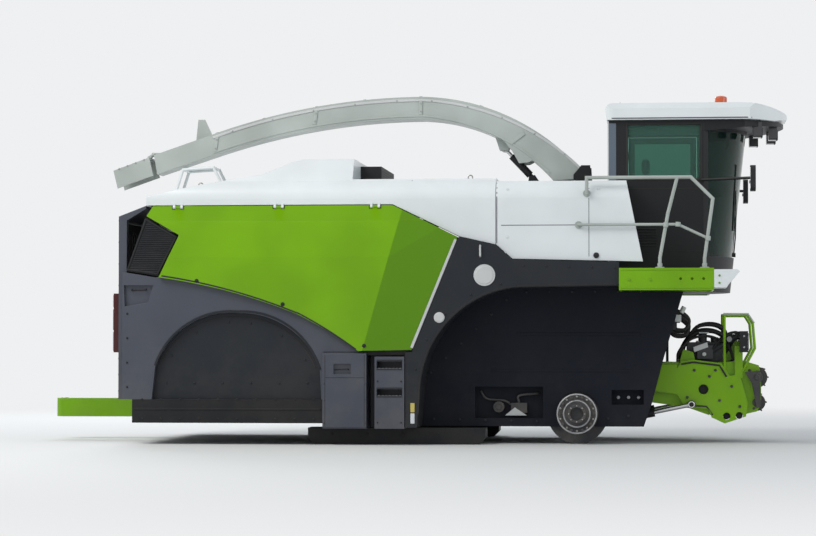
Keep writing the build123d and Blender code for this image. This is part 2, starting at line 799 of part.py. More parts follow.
roof_half = 850.0
roof_profile = [(cab_rear - 10.0, roof_z), (cab_rear - 25.0, roof_top - 60.0),
                ((cab_rear + 5.0, roof_top - 14.0), (cab_rear + 60.0, roof_top)), (1480.0, roof_top),
                ((1830.0, roof_top - 22.0), (2080.0, roof_top - 80.0)), (front_overhang, roof_top - 105.0),
                (front_overhang - 15.0, roof_z + 35.0), (1950.0, roof_z)]
roof_plan = [(cab_rear - 30.0, -roof_half + 90.0), ((cab_rear, -roof_half + 25.0), (cab_rear + 70.0, -roof_half)),
             (1700.0, -roof_half), ((front_overhang, 0.0), (1700.0, roof_half)), (cab_rear + 70.0, roof_half),
             ((cab_rear, roof_half - 25.0), (cab_rear - 30.0, roof_half - 90.0))]


def cab_roof():
    """Roof with a bowed front edge, rounded corners and a bevelled rim."""
    roof = side_plate(roof_profile, -roof_half, roof_half) & plan_plate(roof_plan, roof_z, roof_top + past)
    rim = [(-roof_half, roof_z), (-roof_half, roof_top - 60.0), (-roof_half + 60.0, roof_top),
           (roof_half - 60.0, roof_top), (roof_half, roof_top - 60.0), (roof_half, roof_z)]
    return roof & cross_plate(rim, cab_rear - 50.0, front_overhang + past)


# Front lamps: (rear face, sideways)
lamp_places = ((1735.0, -600.0), (1900.0, -250.0), (1900.0, 250.0), (1735.0, 600.0))
lamp_size = (85.0, 170.0, 105.0)


def work_lamps():
    lamps = []
    length, width, height = lamp_size
    for x, y in lamp_places:
        lamp = block(x, x + length, y - width / 2, y + width / 2, visor_low - 60.0, visor_low + height)
        lamp = chamfer(lamp.edges().filter_by(Axis.X), 14.0) - lamp_visor()
        lamps.append(lamp)
    return Compound([solid for lamp in lamps for solid in lamp.solids()])


def beacon():
    return bar((1420.0, -600.0, roof_top), (1420.0, -600.0, roof_top + 60.0), 60.0)


def mirror_arm():
    """Bent arm off the cab's side with a round-cornered mirror head."""
    arm = tube_run([(1230.0, -cab_half, 2600.0), (1230.0, -cab_half - 60.0, 2600.0),
                    (1700.0, -1120.0, 2600.0)], 14.0)
    head = block(1690.0, 1740.0, -1220.0, -1020.0, 2470.0, 2720.0)
    return arm + fillet(head.edges().filter_by(Axis.X), 45.0)


seat_back = 620.0


def seat():
    cushion = block(seat_back + 60.0, seat_back + 540.0, -250.0, 250.0, 2150.0, 2270.0)
    rest = block(seat_back, seat_back + 110.0, -230.0, 230.0, 2200.0, 2860.0)
    return cushion + rest


def seat_base():
    return block(seat_back + 120.0, seat_back + 420.0, -190.0, 190.0, floor_z, 2150.0)


column_foot = (1400.0, 0.0, floor_z)
column_head = (1240.0, 0.0, 2420.0)
column_r = 40.0


def steering_column():
    foot = block(column_foot[0] - 60.0, column_foot[0] + 60.0, -90.0, 90.0, floor_z, floor_z + 60.0)
    return foot + bar((column_foot[0], 0.0, floor_z + 30.0), column_head, column_r)


wheel_r = 205.0


def steering_wheel():
    a = Vector(ahead(column_foot[0]), 0, floor_z + 30.0)
    b = Vector(ahead(column_head[0]), 0, column_head[2])
    lean = (b - a).normalized()
    seat_point = b + lean * run_gap
    plane = Plane(origin=seat_point + lean * 30.0, z_dir=lean)
    rim = extrude(plane * Circle(wheel_r), amount=13.0, both=True)
    rim = rim - extrude(plane * Circle(wheel_r - 30.0), amount=20.0, both=True)
    rim = chamfer(rim.edges(), 8.0)
    wheel = rim + extrude(Plane(origin=seat_point, z_dir=lean) * Circle(35.0), amount=40.0)
    for turn in (90.0, 210.0, 330.0):
        spoke = plane * (Rot(0, 0, turn) * (Pos(95.0, 0, 0) * Box(175.0, 26.0, 12.0)))
        wheel = wheel + spoke
    return wheel


spout_pin = (60.0, 2745.0)
spout_pin_r = 18.0
cheek_half = spout_half + 10.0
lift_base = (-480.0, 2680.0)
lift_eye = (-770.0, 2985.0)
lug_inner = 40.0
lug_outer = 60.0
turret_top = 2630.0
turret_cheek = [(-60.0, 2620.0), (-60.0, 2700.0), (20.0, 2795.0), (110.0, 2795.0), (120.0, 2620.0)]
base_lug = [(-530.0, 2620.0), (-520.0, 2700.0), (-460.0, 2710.0), (-400.0, 2620.0)]
foot_plate = (-640.0, -300.0, 150.0)


def turret():
    """Slewing ring on the shaft, with cheeks that carry the spout."""
    ring = bar((turret_x, 0, tower_high + run_gap), (turret_x, 0, turret_top), turret_r)
    for side in (-1, 1):
        a = side * cheek_half
        b = side * (cheek_half + 20.0)
        ring = ring + side_plate(turret_cheek, min(a, b), max(a, b))
        a = side * lug_inner
        b = side * lug_outer
        ring = ring + side_plate(base_lug, min(a, b), max(a, b))
    rear, front, half = foot_plate
    foot = block(rear, front, -half, half, hood_deck + swing_gap, turret_top)
    pin = bar((lift_base[0], -lug_outer, lift_base[1]), (lift_base[0], lug_outer, lift_base[1]), 14.0)
    hinge = bar((spout_pin[0], -cheek_half - 20.0, spout_pin[1]),
                (spout_pin[0], cheek_half + 20.0, spout_pin[1]), spout_pin_r)
    return ring + foot + pin + hinge


# Side view of the duct: (ahead of hub, height) at its mouth, crest and end
duct_root_front = (90.0, 2665.0)
duct_root_rear = (-260.0, 2640.0)
duct_bend_top = (-525.0, 3200.0)
duct_bend_under = (-760.0, 3050.0)
duct_crest = (-1600.0, 3510.0)
duct_crest_under = (-1600.0, 3285.0)
duct_arm_top = (-2700.0, 3420.0)
duct_arm_under = (-2700.0, 3195.0)
duct_end_top = 3140.0
duct_end_under = 2920.0
duct_narrows = -1200.0


def duct_face(w):
    """Side outline of the duct, drawn in by its wall w."""
    return [(duct_root_front[0] - w, duct_root_front[1]),
            ((duct_bend_top[0] + 0.6 * w, duct_bend_top[1] - 0.8 * w), (duct_crest[0], duct_crest[1] - w)),
            ((duct_arm_top[0], duct_arm_top[1] - w), (spout_end, duct_end_top - w)),
            (spout_end, duct_end_under + w),
            ((duct_arm_under[0], duct_arm_under[1] + w), (duct_crest_under[0], duct_crest_under[1] + w)),
            ((duct_bend_under[0] - 0.5 * w, duct_bend_under[1] + 0.9 * w),
             (duct_root_rear[0] + w, duct_root_rear[1]))]


def duct_solid(w):
    """Duct drawn in by its wall w: curved in the side view, tapered in plan."""
    wide = spout_half - w
    thin = spout_end_half - w
    plan = [(200.0, -wide), (200.0, wide), (duct_narrows, wide), (spout_end, thin), (spout_end, -thin),
            (duct_narrows, -wide)]
    return side_plate(duct_face(w), -spout_half, spout_half) & plan_plate(plan, 2600.0, 3600.0)


web_edge = [(-800.0, 3090.0), (-687.0, 2950.0), (-613.0, 2820.0), (-518.0, 2830.0), (-424.0, 2880.0),
            (-440.0, 2960.0)]
eye_lug = [(-880.0, 3150.0), (-820.0, 2965.0), (-730.0, 2960.0), (-690.0, 3060.0)]
fin_edge = [(-3985.0, 3060.0), (-3960.0, 3310.0), (-3890.0, 3310.0), (-3800.0, 3120.0)]


def spout():
    """Curved discharge duct, hollow, narrower towards its end."""
    duct = duct_solid(0.0)
    for side in (-1, 1):
        a = side * lug_inner
        b = side * lug_outer
        duct = duct + side_plate(eye_lug, min(a, b), max(a, b))
        a = side * spout_half
        b = side * (spout_half - spout_wall)
        duct = duct + side_plate(web_edge, min(a, b), max(a, b))
    duct = duct - duct_solid(spout_wall)
    reach = spout_half + 8.0
    boss = bar((spout_pin[0], -reach, spout_pin[1]), (spout_pin[0], reach, spout_pin[1]), 40.0)
    bore = bar((spout_pin[0], -reach - past, spout_pin[1]), (spout_pin[0], reach + past, spout_pin[1]),
               spout_pin_r + fit_gap)
    pin = bar((lift_eye[0], -lug_outer, lift_eye[1]), (lift_eye[0], lug_outer, lift_eye[1]), 10.0)
    return duct + boss - bore + pin


tip_top = 2935.0
tip_under = 2735.0
tip_set_back = 35.0


def spout_extension():
    """Straight end of the spout, up to the flap's hinge, with a lamp fin on top."""
    w = spout_wall
    outer = side_plate([(spout_end, duct_end_top), (extension_end, tip_top),
                        (extension_end + tip_set_back, tip_under), (spout_end, duct_end_under)],
                       -spout_end_half, spout_end_half)
    outer = outer + side_plate(fin_edge, -8.0, 8.0)
    hollow = [(spout_end + 1.0, duct_end_top - w), (extension_end - past, tip_top - w),
              (extension_end + tip_set_back - past, tip_under + w), (spout_end + 1.0, duct_end_under + w)]
    return outer - side_plate(hollow, -spout_end_half + w, spout_end_half - w)


flap_pin = (extension_end - 22.0, tip_top + 15.0)
flap_tip = extension_end - 420.0
flap_ring_r = 16.0
flap_pin_r = 9.0


def flap_hinge():
    """Fixed half of the flap's hinge, on the spout's top edge."""
    x, z = flap_pin
    fixed, ring = knuckle((x, 0.0, z), (0, 1, 0), 160.0, flap_ring_r, flap_pin_r)
    for y in (-80.0, 40.0):
        fixed = fixed + block(x, extension_end + 60.0, y, y + 40.0, z - 2.0, z + 14.0)
    fixed = fixed + block(extension_end + 5.0, extension_end + 60.0, -80.0, 80.0, tip_top - 1.0, z + 14.0)
    below = [(extension_end - 60.0, tip_top - 20.5), (spout_end, duct_end_top), (spout_end, 2800.0),
             (extension_end - 60.0, 2700.0)]
    return fixed - side_plate(below, -100.0, 100.0)


def spout_flap():
    """Deflector: a top plate and two cheeks that pass outside the spout."""
    edge = [(extension_end - 45.0, 2910.0), (flap_tip, 2775.0), (flap_tip + 45.0, 2590.0),
            (extension_end, 2720.0)]
    flap = side_plate(edge, -spout_end_half - 26.0, spout_end_half + 26.0)
    low = [(extension_end + 10.0, 2912.0), (flap_tip - 20.0, 2757.0), (flap_tip - 20.0, 2500.0),
           (extension_end + 50.0, 2600.0)]
    flap = flap - side_plate(low, -spout_end_half - 16.0, spout_end_half + 16.0)
    x, z = flap_pin
    fixed, ring = knuckle((x, 0.0, z), (0, 1, 0), 160.0, flap_ring_r, flap_pin_r)
    tab = side_plate([(x - 70.0, z - 60.0), (x - 70.0, z - 25.0), (x - 8.0, z + 12.0), (x - 11.0, z - 15.0)],
                     -38.0, 38.0)
    return flap + ring + tab


def lift_direction(base, eye):
    run = Vector(eye[0] - base[0], 0, eye[1] - base[1])
    return run.length, run.normalized()


def barrel(base, eye, y, radius, bore, pin, share):
    """Cylinder barrel with an eye at its base, open for the rod."""
    length, way = lift_direction(base, eye)
    start = (base[0], y, base[1])
    mouth = (base[0] + way.X * length * share, y, base[1] + way.Z * length * share)
    body = bar((base[0] + way.X * 45.0, y, base[1] + way.Z * 45.0), mouth, radius)
    body = body + bar(start, (base[0] + way.X * 60.0, y, base[1] + way.Z * 60.0), 22.0)
    eye_ring = bar((base[0], y - eye_half, base[1]), (base[0], y + eye_half, base[1]), 30.0)
    body = body + eye_ring
    body = body - bar((base[0] + way.X * 90.0, y, base[1] + way.Z * 90.0),
                      (mouth[0] + way.X, y, mouth[2] + way.Z), bore)
    return body - bar((base[0], y - 60.0, base[1]), (base[0], y + 60.0, base[1]), pin + fit_gap)


def piston_rod(base, eye, y, radius, hole, share):
    """Piston rod from inside the barrel to its eye."""
    length, way = lift_direction(base, eye)
    inside = (base[0] + way.X * length * share, y, base[1] + way.Z * length * share)
    near_eye = (eye[0] - way.X * 30.0, y, eye[1] - way.Z * 30.0)
    shape = bar(inside, near_eye, radius)
    shape = shape + bar((eye[0], y - 30.0, eye[1]), (eye[0], y + 30.0, eye[1]), hole + 12.0)
    return shape - bar((eye[0], y - 60.0, eye[1]), (eye[0], y + 60.0, eye[1]), hole)


rest_y = 170.0
rest_r = 15.0
rest_line = [(-4205.0, 2420.0), (-4090.0, 2780.0), (-3770.0, 2800.0), (-3640.0, 2540.0)]


def spout_rest():
    """Tubular cradle on the hood, just under the parked spout."""
    rest = None
    for side in (-1, 1):
        legs = tube_run([(x, side * rest_y, z) for x, z in rest_line], rest_r)
        rest = legs if rest is None else rest + legs
    for x, z in rest_line[1:3]:
        rest = rest + bar((x, -rest_y, z), (x, rest_y, z), rest_r - 2.0)
    return rest - hood_form(0.0, hood_split)


lamp_outer = fender_inner - 5.0
lamp_width = 50.0


def rear_lamps():
    return block(wall_rear - 50.0, wall_rear, -lamp_outer, -lamp_outer + lamp_width, 900.0, 1480.0)


roller_x = 1770.0
roller_high = (roller_x, 650.0)
roller_low = (roller_x, 400.0)
journal_r = 25.0


lime_plate = [(900.0, 600.0), (1020.0, 810.0), (1140.0, 825.0), (1420.0, 790.0), (1500.0, 665.0),
              (1600.0, 680.0), (1680.0, 390.0), (1660.0, 260.0), (1450.0, 190.0), (1320.0, 250.0),
              (1290.0, 335.0), (1060.0, 345.0)]
# Holes in it: (ahead of hub, height, radius)
plate_holes = ((1240.0, 530.0, 50.0), (1470.0, 262.0, 37.0), (1595.0, 268.0, 37.0))
cheek_edge = [(1250.0, 300.0), (1250.0, 790.0), (1640.0, 815.0), (1790.0, 770.0), (1812.0, 660.0),
              (1812.0, 380.0), (1770.0, 310.0), (1600.0, 270.0)]
trunk_edge = [(385.0, 480.0), (385.0, 780.0), (900.0, 800.0), (1300.0, 790.0), (1300.0, 270.0),
              (1060.0, 355.0), (700.0, 400.0)]
arm_edge = [(385.0, 560.0), (385.0, 760.0), (980.0, 780.0), (980.0, 480.0)]


def both_plates(edge, inner, outer):
    """The same plate on both sides of the intake."""
    return side_plate(edge, -outer, -inner) + side_plate(edge, inner, outer)


def intake_housing():
    """Lifting intake: trunk, side plates, roller cheeks and the pivot pins."""
    inner = intake_half - intake_plate
    plates = both_plates(lime_plate, inner, intake_half)
    for x, z, r in plate_holes:
        plates = plates - bar((x, -intake_half - past, z), (x, intake_half + past, z), r)
    house = plates + side_plate(trunk_edge, -inner, inner) + side_plate(arm_edge, -intake_half, intake_half)
    house = house + both_plates(cheek_edge, inner - cheek_plate, inner)
    for x, z in (roller_high, roller_low):
        house = house - bar((x, -intake_half - past, z), (x, intake_half + past, z), journal_r + fit_gap)
    x, z = cyl_eye
    for side in (-1, 1):
        house = house + bar((intake_pivot[0], side * (intake_half - 20.0), intake_pivot[1]),
                            (intake_pivot[0], side * (intake_half + 45.0), intake_pivot[1]), pin_r)
        face = side * intake_half
        step = side * (-cyl_y - eye_half - run_gap)
        house = house + bar((x, face, z), (x, side * (-cyl_y + eye_half + past), z), 12.0)
        house = house + bar((x, face, z), (x, step, z), 40.0)
    return house


beam_half = 600.0
beam_span = (1600.0, 1680.0)
beam_low = 900.0
beam_high = 1110.0
hoop_y = 462.0
hoop_r = 14.0
hoop_line = [(1450.0, 740.0), (1450.0, 1270.0), (1680.0, 1270.0), (1730.0, 1190.0), (1750.0, 940.0),
             (1590.0, 640.0)]


def header_frame():
    """Beam on the intake's front, which carries the header, with its hoops."""
    rear, front = beam_span
    frame = block(rear, front, -beam_half, beam_half, beam_low, beam_high)
    for side in (-1, 1):
        a = side * (intake_half - intake_plate)
        b = side * intake_half
        frame = frame + block(rear - 50.0, rear + 30.0, min(a, b), max(a, b), 640.0, beam_low + 60.0)
        frame = frame + tube_run([(x, side * hoop_y, z) for x, z in hoop_line], hoop_r)
    return frame


def feed_roller(centre, radius, ribs):
    x, z = centre
    half = intake_half - intake_plate - cheek_plate - 10.0
    roller = bar((x, -half, z), (x, half, z), radius - 14.0)
    reach = half + cheek_plate
    roller = roller + bar((x, -reach, z), (x, reach, z), journal_r)
    for i in range(ribs):
        rib = Pos(radius - 14.0, 0, 0) * Box(28.0, 2 * half, 12.0)
        roller = roller + Pos(ahead(x), 0, z) * (Rot(0, 360.0 * i / ribs, 0) * rib)
    return roller


ladder_y = half_width - 60.0
ladder_pin = (930.0, ladder_y)
ladder_knuckles = (1420.0, 1330.0)
ladder_span = (450.0, 900.0)
ladder_steps = (370.0, 650.0, 930.0, 1210.0)


def ladder():
    """Steps under the left platform, which swing outward."""
    rear, front = ladder_span
    inner = ladder_y - 40.0
    outer = ladder_y + 20.0
    steps = block(rear, rear + sheet, inner, outer, 350.0, 1470.0)
    steps = steps + block(front - sheet, front, inner, outer, 350.0, 1470.0)
    for z in ladder_steps:
        steps = steps + block(rear + sheet, front - sheet, inner - 80.0, outer, z, z + 30.0)
    for z in ladder_knuckles:
        fixed, ring = knuckle((ladder_pin[0], ladder_pin[1], z), (0, 0, 1), 80.0, hinge_ring, hinge_pin)
        steps = steps + ring + block(front - 10.0, ladder_pin[0] - 9.0, ladder_y - 8.0, ladder_y + 8.0,
                                     z - 19.0, z + 19.0)
    return steps


def ladder_post():
    """Post under the left platform, with the ladder's fixed hinge halves."""
    post = block(960.0, 1000.0, ladder_y - 30.0, ladder_y + 30.0, 1270.0, floor_z - sheet)
    for z in ladder_knuckles:
        fixed, ring = knuckle((ladder_pin[0], ladder_pin[1], z), (0, 0, 1), 80.0, hinge_ring, hinge_pin)
        for low in (z - 40.0, z + 20.0):
            fixed = fixed + block(ladder_pin[0] + 4.0, 965.0, ladder_y - 8.0, ladder_y + 8.0, low, low + 20.0)
        post = post + fixed
    return post


def front_valves():
    """Hydraulic valve block with its ports and a filter, under the cab's bearers."""
    valves = block(640.0, 880.0, -post_y, -660.0, 1200.0, bearer_low)
    for x in (690.0, 760.0, 830.0):
        valves = valves + bar((x, -post_y, 1290.0), (x, -post_y - 50.0, 1290.0), 22.0)
    valves = valves + block(870.0, 990.0, -post_y + 20.0, -680.0, 1310.0, bearer_low)
    return valves + bar((930.0, -730.0, 1120.0), (930.0, -730.0, 1320.0), 48.0)


bearer_low = 1380.0


def cab_bearers():
    """Beams that carry the cab from the front posts."""
    return block(cab_rear - post_size, 900.0, -post_y, -650.0, bearer_low, floor_low)


save("chassis_frame", chassis_frame())
save_both("body_frame", body_frame())
save("belly_tray", belly_tray())
save_both("belly_skids", belly_skids())
save("front_axle", front_axle())
save("hub_right", hub(right_stud_r))
save("hub_left", other_side(hub(left_stud_r)))
save("engine_block", engine_block())
save("chute_tower", chute_tower())
save("hitch_beam", hitch_beam())
save("rear_wall", rear_wall())
save("rear_door", rear_door())
save_both("rear_lamps", rear_lamps())
save("hood_top", hood_top())
save("hood_box", hood_box())
save("front_body", front_body())
save_pair("side_panel", side_panel())
save_both("side_grilles", side_grille())
save_pair("rear_fender", rear_fender())
save_both("arch_panels", arch_panel())
save_both("side_boxes", side_box())
save_both("step_boxes", step_box())
save_pair("front_fender", front_fender())
save_both("inner_walls", inner_wall())
save("platform_right", platform())
save("platform_left", other_side(platform()) + ladder_post())
save_both("platform_ends", platform_end())
save("railings", railings())
save("cab_base", cab_base() + cab_bearers() + other_side(cab_bearers()))
save("cab_shell", cab_shell())
save("cab_roof", cab_roof())
save("windscreen", windscreen())
save("cab_windows", cab_windows())
save("cab_door", cab_door())
save("door_glass", door_glass())
save("seat", seat())
save("seat_base", seat_base())
save("steering_column", steering_column())
save("steering_wheel", steering_wheel())
save("beacon", beacon())
save("work_lamps", work_lamps())
save_both("mirrors", mirror_arm())
save("turret", turret())
save("spout", spout() + spout_extension() + flap_hinge())
save("spout_flap", spout_flap())
save("lift_barrel", barrel(lift_base, lift_eye, 0.0, 38.0, 18.0 + fit_gap, 14.0, 0.75))
save("lift_rod", piston_rod(lift_base, lift_eye, 0.0, 18.0, 28.0, 0.24))
save("spout_rest", spout_rest())
save("intake_housing", intake_housing() + header_frame())
save("feed_roller_upper", feed_roller(roller_high, 120.0, 8))
save("feed_roller_lower", feed_roller(roller_low, 100.0, 6))
save_pair("intake_barrel", barrel(cyl_base, cyl_eye, cyl_y, 45.0, 22.0 + fit_gap, cyl_pin, 0.6))
save_pair("intake_rod", piston_rod(cyl_base, cyl_eye, cyl_y, 22.0, 22.0, 0.2))
save("ladder", ladder())
save_both("front_valves", front_valves())
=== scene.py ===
import json
import math

import bmesh
import bpy
from mathutils import Matrix, Vector
from mathutils.bvhtree import BVHTree


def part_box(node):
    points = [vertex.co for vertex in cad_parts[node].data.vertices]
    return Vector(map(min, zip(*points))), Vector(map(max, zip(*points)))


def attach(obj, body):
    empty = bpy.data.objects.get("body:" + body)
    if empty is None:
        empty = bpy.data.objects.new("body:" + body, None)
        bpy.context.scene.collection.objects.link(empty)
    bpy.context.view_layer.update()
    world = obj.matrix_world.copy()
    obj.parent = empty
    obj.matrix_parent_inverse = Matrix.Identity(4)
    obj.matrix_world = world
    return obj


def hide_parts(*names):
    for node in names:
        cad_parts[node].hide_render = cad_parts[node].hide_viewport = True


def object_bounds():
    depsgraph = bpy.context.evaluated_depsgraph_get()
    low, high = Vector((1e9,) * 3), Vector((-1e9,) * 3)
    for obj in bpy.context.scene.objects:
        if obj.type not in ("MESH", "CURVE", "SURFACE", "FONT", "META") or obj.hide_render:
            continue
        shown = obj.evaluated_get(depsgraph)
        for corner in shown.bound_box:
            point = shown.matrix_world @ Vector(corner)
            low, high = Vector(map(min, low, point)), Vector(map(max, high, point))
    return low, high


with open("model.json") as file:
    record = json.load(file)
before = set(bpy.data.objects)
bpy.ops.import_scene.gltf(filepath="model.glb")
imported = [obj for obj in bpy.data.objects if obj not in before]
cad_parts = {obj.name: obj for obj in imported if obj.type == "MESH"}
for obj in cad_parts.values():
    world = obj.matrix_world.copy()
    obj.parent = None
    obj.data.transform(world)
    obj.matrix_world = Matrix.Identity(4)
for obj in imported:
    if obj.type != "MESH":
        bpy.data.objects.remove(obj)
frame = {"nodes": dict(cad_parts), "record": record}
cad_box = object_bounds()
nodes = frame["nodes"]

# Places that the CAD gives, in metres
hub_low, hub_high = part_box("hub_right")
hub_x = (hub_low.x + hub_high.x) / 2
side_y = cad_box[0][1]

suffixes = {-1: "_right", 1: "_left"}


def both_sides(draw):
    """Makes a function that draws one side draw the right side and then the left."""
    def draw_both():
        for side in suffixes:
            draw(side)
    return draw_both


def ahead(distance):
    """X of a place that lies this far ahead of the front hub's centre."""
    return hub_x + distance


def at(x, y, z):
    return Vector((ahead(x), y, z))


def link(obj):
    bpy.context.scene.collection.objects.link(obj)
    return obj


def aim_from(obj, place, aim):
    """Puts a camera or a lamp at a place and turns it to its aim."""
    obj.location = place
    obj.rotation_euler = (Vector(aim) - Vector(place)).to_track_quat("-Z", "Y").to_euler()


# Camera

camera_distance = 24.5
camera_ahead = 0.84
camera_height = 1.02
camera_lens = 112.0
aim_ahead = -1.62
aim_height = 1.72


def place_camera():
    data = bpy.data.cameras.new("photo_camera")
    data.lens = camera_lens
    data.clip_end = 200.0
    camera = link(bpy.data.objects.new("photo_camera", data))
    aim_from(camera, (ahead(camera_ahead), side_y - camera_distance, camera_height),
             (ahead(aim_ahead), side_y, aim_height))
    bpy.context.scene.camera = camera


# Nodes of the shaders

def add_node(tree, kind, inputs=None, **settings):
    """Node whose inputs are set to values or joined to outputs of other nodes."""
    node = tree.nodes.new("ShaderNode" + kind)
    for name, value in settings.items():
        setattr(node, name, value)
    for name, value in (inputs or {}).items():
        if isinstance(value, bpy.types.NodeSocket):
            tree.links.new(value, node.inputs[name])
        else:
            node.inputs[name].default_value = value
    return node


def math_node(tree, operation, *values, clamp=False):
    return add_node(tree, "Math", dict(enumerate(values)), operation=operation, use_clamp=clamp).outputs[0]


def noise(tree, vector, scale, detail, rough):
    return add_node(tree, "TexNoise", {"Vector": vector, "Scale": scale, "Detail": detail,
                                       "Roughness": rough}).outputs["Fac"]


def ramp(tree, value, low, high):
    """0 below low, 1 above high."""
    return add_node(tree, "MapRange", {"Value": value, "From Min": low, "From Max": high},
                    interpolation_type="SMOOTHSTEP").outputs["Result"]


def mix_colour(tree, mask, a, b):
    return add_node(tree, "Mix", {"Factor": mask, 6: a, 7: b}, data_type="RGBA").outputs[2]


def split(tree, vector):
    """Outputs X, Y and Z of a vector."""
    return add_node(tree, "SeparateXYZ", {0: vector}).outputs


# Stage and light

floor_colour = (0.72, 0.72, 0.71, 1.0)
backdrop_colour = (0.86, 0.87, 0.88, 1.0)
floor_fade = (5.0, 15.0)
floor_reach = 90.0
floor_drop = 0.001
sky_colour = (0.8, 0.86, 0.95, 1.0)
sky_strength = 0.55
lamp_aim = (0.0, 0.0, 1.5)


def make_world():
    world = bpy.data.worlds.new("soft_studio")
    world.use_nodes = True
    tree = world.node_tree
    tree.nodes.clear()
    light = add_node(tree, "Background", {"Color": sky_colour, "Strength": sky_strength})
    seen = add_node(tree, "Background", {"Color": backdrop_colour, "Strength": 1.0})
    path = add_node(tree, "LightPath").outputs
    glossy = math_node(tree, "MAXIMUM", path["Is Camera Ray"], path["Is Glossy Ray"])
    clear = math_node(tree, "MAXIMUM", glossy, path["Is Transmission Ray"])
    mix = add_node(tree, "MixShader", {"Fac": clear, 1: light.outputs[0], 2: seen.outputs[0]})
    add_node(tree, "OutputWorld", {"Surface": mix.outputs[0]})
    bpy.context.scene.world = world


def light_stage():
    make_world()
    for name, place, size, power, colour in (
            ("key", (-9.0, -8.5, 12.5), (9.0, 6.0), 1500.0, (1.0, 0.98, 0.95)),
            ("front_fill", (11.0, -6.0, 6.0), (6.0, 5.0), 180.0, (0.95, 0.98, 1.0)),
            ("rear_fill", (-6.0, 11.0, 8.0), (8.0, 6.0), 800.0, (0.95, 0.98, 1.0))):
        data = bpy.data.lights.new(name, "AREA")
        data.shape = "RECTANGLE"
        data.size, data.size_y = size
        data.energy = power
        data.color = colour
        aim_from(link(bpy.data.objects.new(name, data)), place, lamp_aim)


def make_floor():
    """Pale floor that fades into the backdrop away from the machine."""
    mesh = bpy.data.meshes.new("studio_floor")
    mesh.from_pydata([(x * floor_reach, y * floor_reach, 0) for x, y in ((-1, -1), (1, -1), (1, 1), (-1, 1))],
                     [], [(0, 1, 2, 3)])
    floor = link(bpy.data.objects.new("studio_floor", mesh))
    floor.location.z = -floor_drop
    material = bpy.data.materials.new("studio_floor")
    material.use_nodes = True
    tree = material.node_tree
    shader = tree.nodes["Principled BSDF"]
    shader.inputs["Base Color"].default_value = floor_colour
    shader.inputs["Roughness"].default_value = 0.85
    place = add_node(tree, "NewGeometry").outputs["Position"]
    reach = add_node(tree, "VectorMath", {0: place}, operation="LENGTH").outputs["Value"]
    glow = add_node(tree, "Emission", {"Color": backdrop_colour})
    blend = add_node(tree, "MixShader", {"Fac": ramp(tree, reach, *floor_fade), 1: shader.outputs[0],
                                         2: glow.outputs[0]})
    tree.links.new(blend.outputs[0], tree.nodes["Material Output"].inputs["Surface"])
    mesh.materials.append(material)


# Shader groups that the finishes share

def new_group(name, numbers, **outputs):
    """Empty shader node group with number inputs, a vector input and outputs of the kinds given."""
    group = bpy.data.node_groups.new(name, "ShaderNodeTree")
    for label, value in numbers.items():
        group.interface.new_socket(label, in_out="INPUT", socket_type="NodeSocketFloat").default_value = value
    group.interface.new_socket("Vector", in_out="INPUT", socket_type="NodeSocketVector")
    for label, kind in outputs.items():
        group.interface.new_socket(label.replace("_", " "), in_out="OUTPUT", socket_type="NodeSocket" + kind)
    return group, group.nodes.new("NodeGroupInput").outputs, group.nodes.new("NodeGroupOutput").inputs


def edge_wear_group():
    """Mask that is 1 on worn convex edges."""
    group, given, result = new_group("edge_wear", {"Width": 0.006, "Amount": 0.5},
                                     Mask="Float", Round_Normal="Vector")
    rounded = add_node(group, "Bevel", {"Radius": given["Width"]}, samples=4).outputs[0]
    normal = add_node(group, "NewGeometry").outputs["Normal"]
    dot = add_node(group, "VectorMath", {0: rounded, 1: normal}, operation="DOT_PRODUCT").outputs["Value"]
    bend = math_node(group, "SUBTRACT", 1.0, dot)
    broken = ramp(group, noise(group, given["Vector"], 9.0, 6.0, 0.7), 0.42, 0.62)
    mask = math_node(group, "MULTIPLY", ramp(group, bend, 0.03, 0.22), broken)
    mask = math_node(group, "MULTIPLY", mask, given["Amount"], clamp=True)
    group.links.new(mask, result["Mask"])
    group.links.new(rounded, result["Round Normal"])
    return group


dust_on_top = 0.7
dust_low_down = 0.8
dust_everywhere = 0.18


def dust_group():
    """Mask for dust: on top faces, low down, and in cloudy patches."""
    group, given, result = new_group("field_dust", {"Amount": 0.4, "Low Height": 1.2, "Scale": 2.5},
                                     Mask="Float")
    normal = add_node(group, "NewGeometry").outputs["Normal"]
    up = math_node(group, "MULTIPLY", ramp(group, split(group, normal)["Z"], 0.35, 1.0), dust_on_top)
    height = math_node(group, "DIVIDE", split(group, given["Vector"])["Z"], given["Low Height"])
    low = math_node(group, "MULTIPLY", math_node(group, "SUBTRACT", 1.0, height, clamp=True), dust_low_down)
    cloud = ramp(group, noise(group, given["Vector"], given["Scale"], 8.0, 0.65), 0.35, 0.7)
    share = math_node(group, "ADD", math_node(group, "ADD", up, low), dust_everywhere)
    mask = math_node(group, "MULTIPLY", share, cloud)
    group.links.new(math_node(group, "MULTIPLY", mask, given["Amount"], clamp=True), result["Mask"])
    return group


def grain_group():
    """Height field: fine grain over a broad unevenness."""
    group, given, result = new_group(
        "surface_grain", {"Fine Scale": 220.0, "Broad Scale": 1.6, "Broad Share": 0.5},
        Height="Float", Tone="Float")
    fine = noise(group, given["Vector"], given["Fine Scale"], 2.0, 0.5)
    broad = noise(group, given["Vector"], given["Broad Scale"], 2.0, 0.5)
    blend = math_node(group, "MULTIPLY", broad, given["Broad Share"])
    height = math_node(group, "ADD", math_node(group, "MULTIPLY", fine, 0.02), blend)
    group.links.new(height, result["Height"])
    group.links.new(broad, result["Tone"])
    return group


groups = {"edge_wear": edge_wear_group(), "field_dust": dust_group(), "surface_grain": grain_group()}


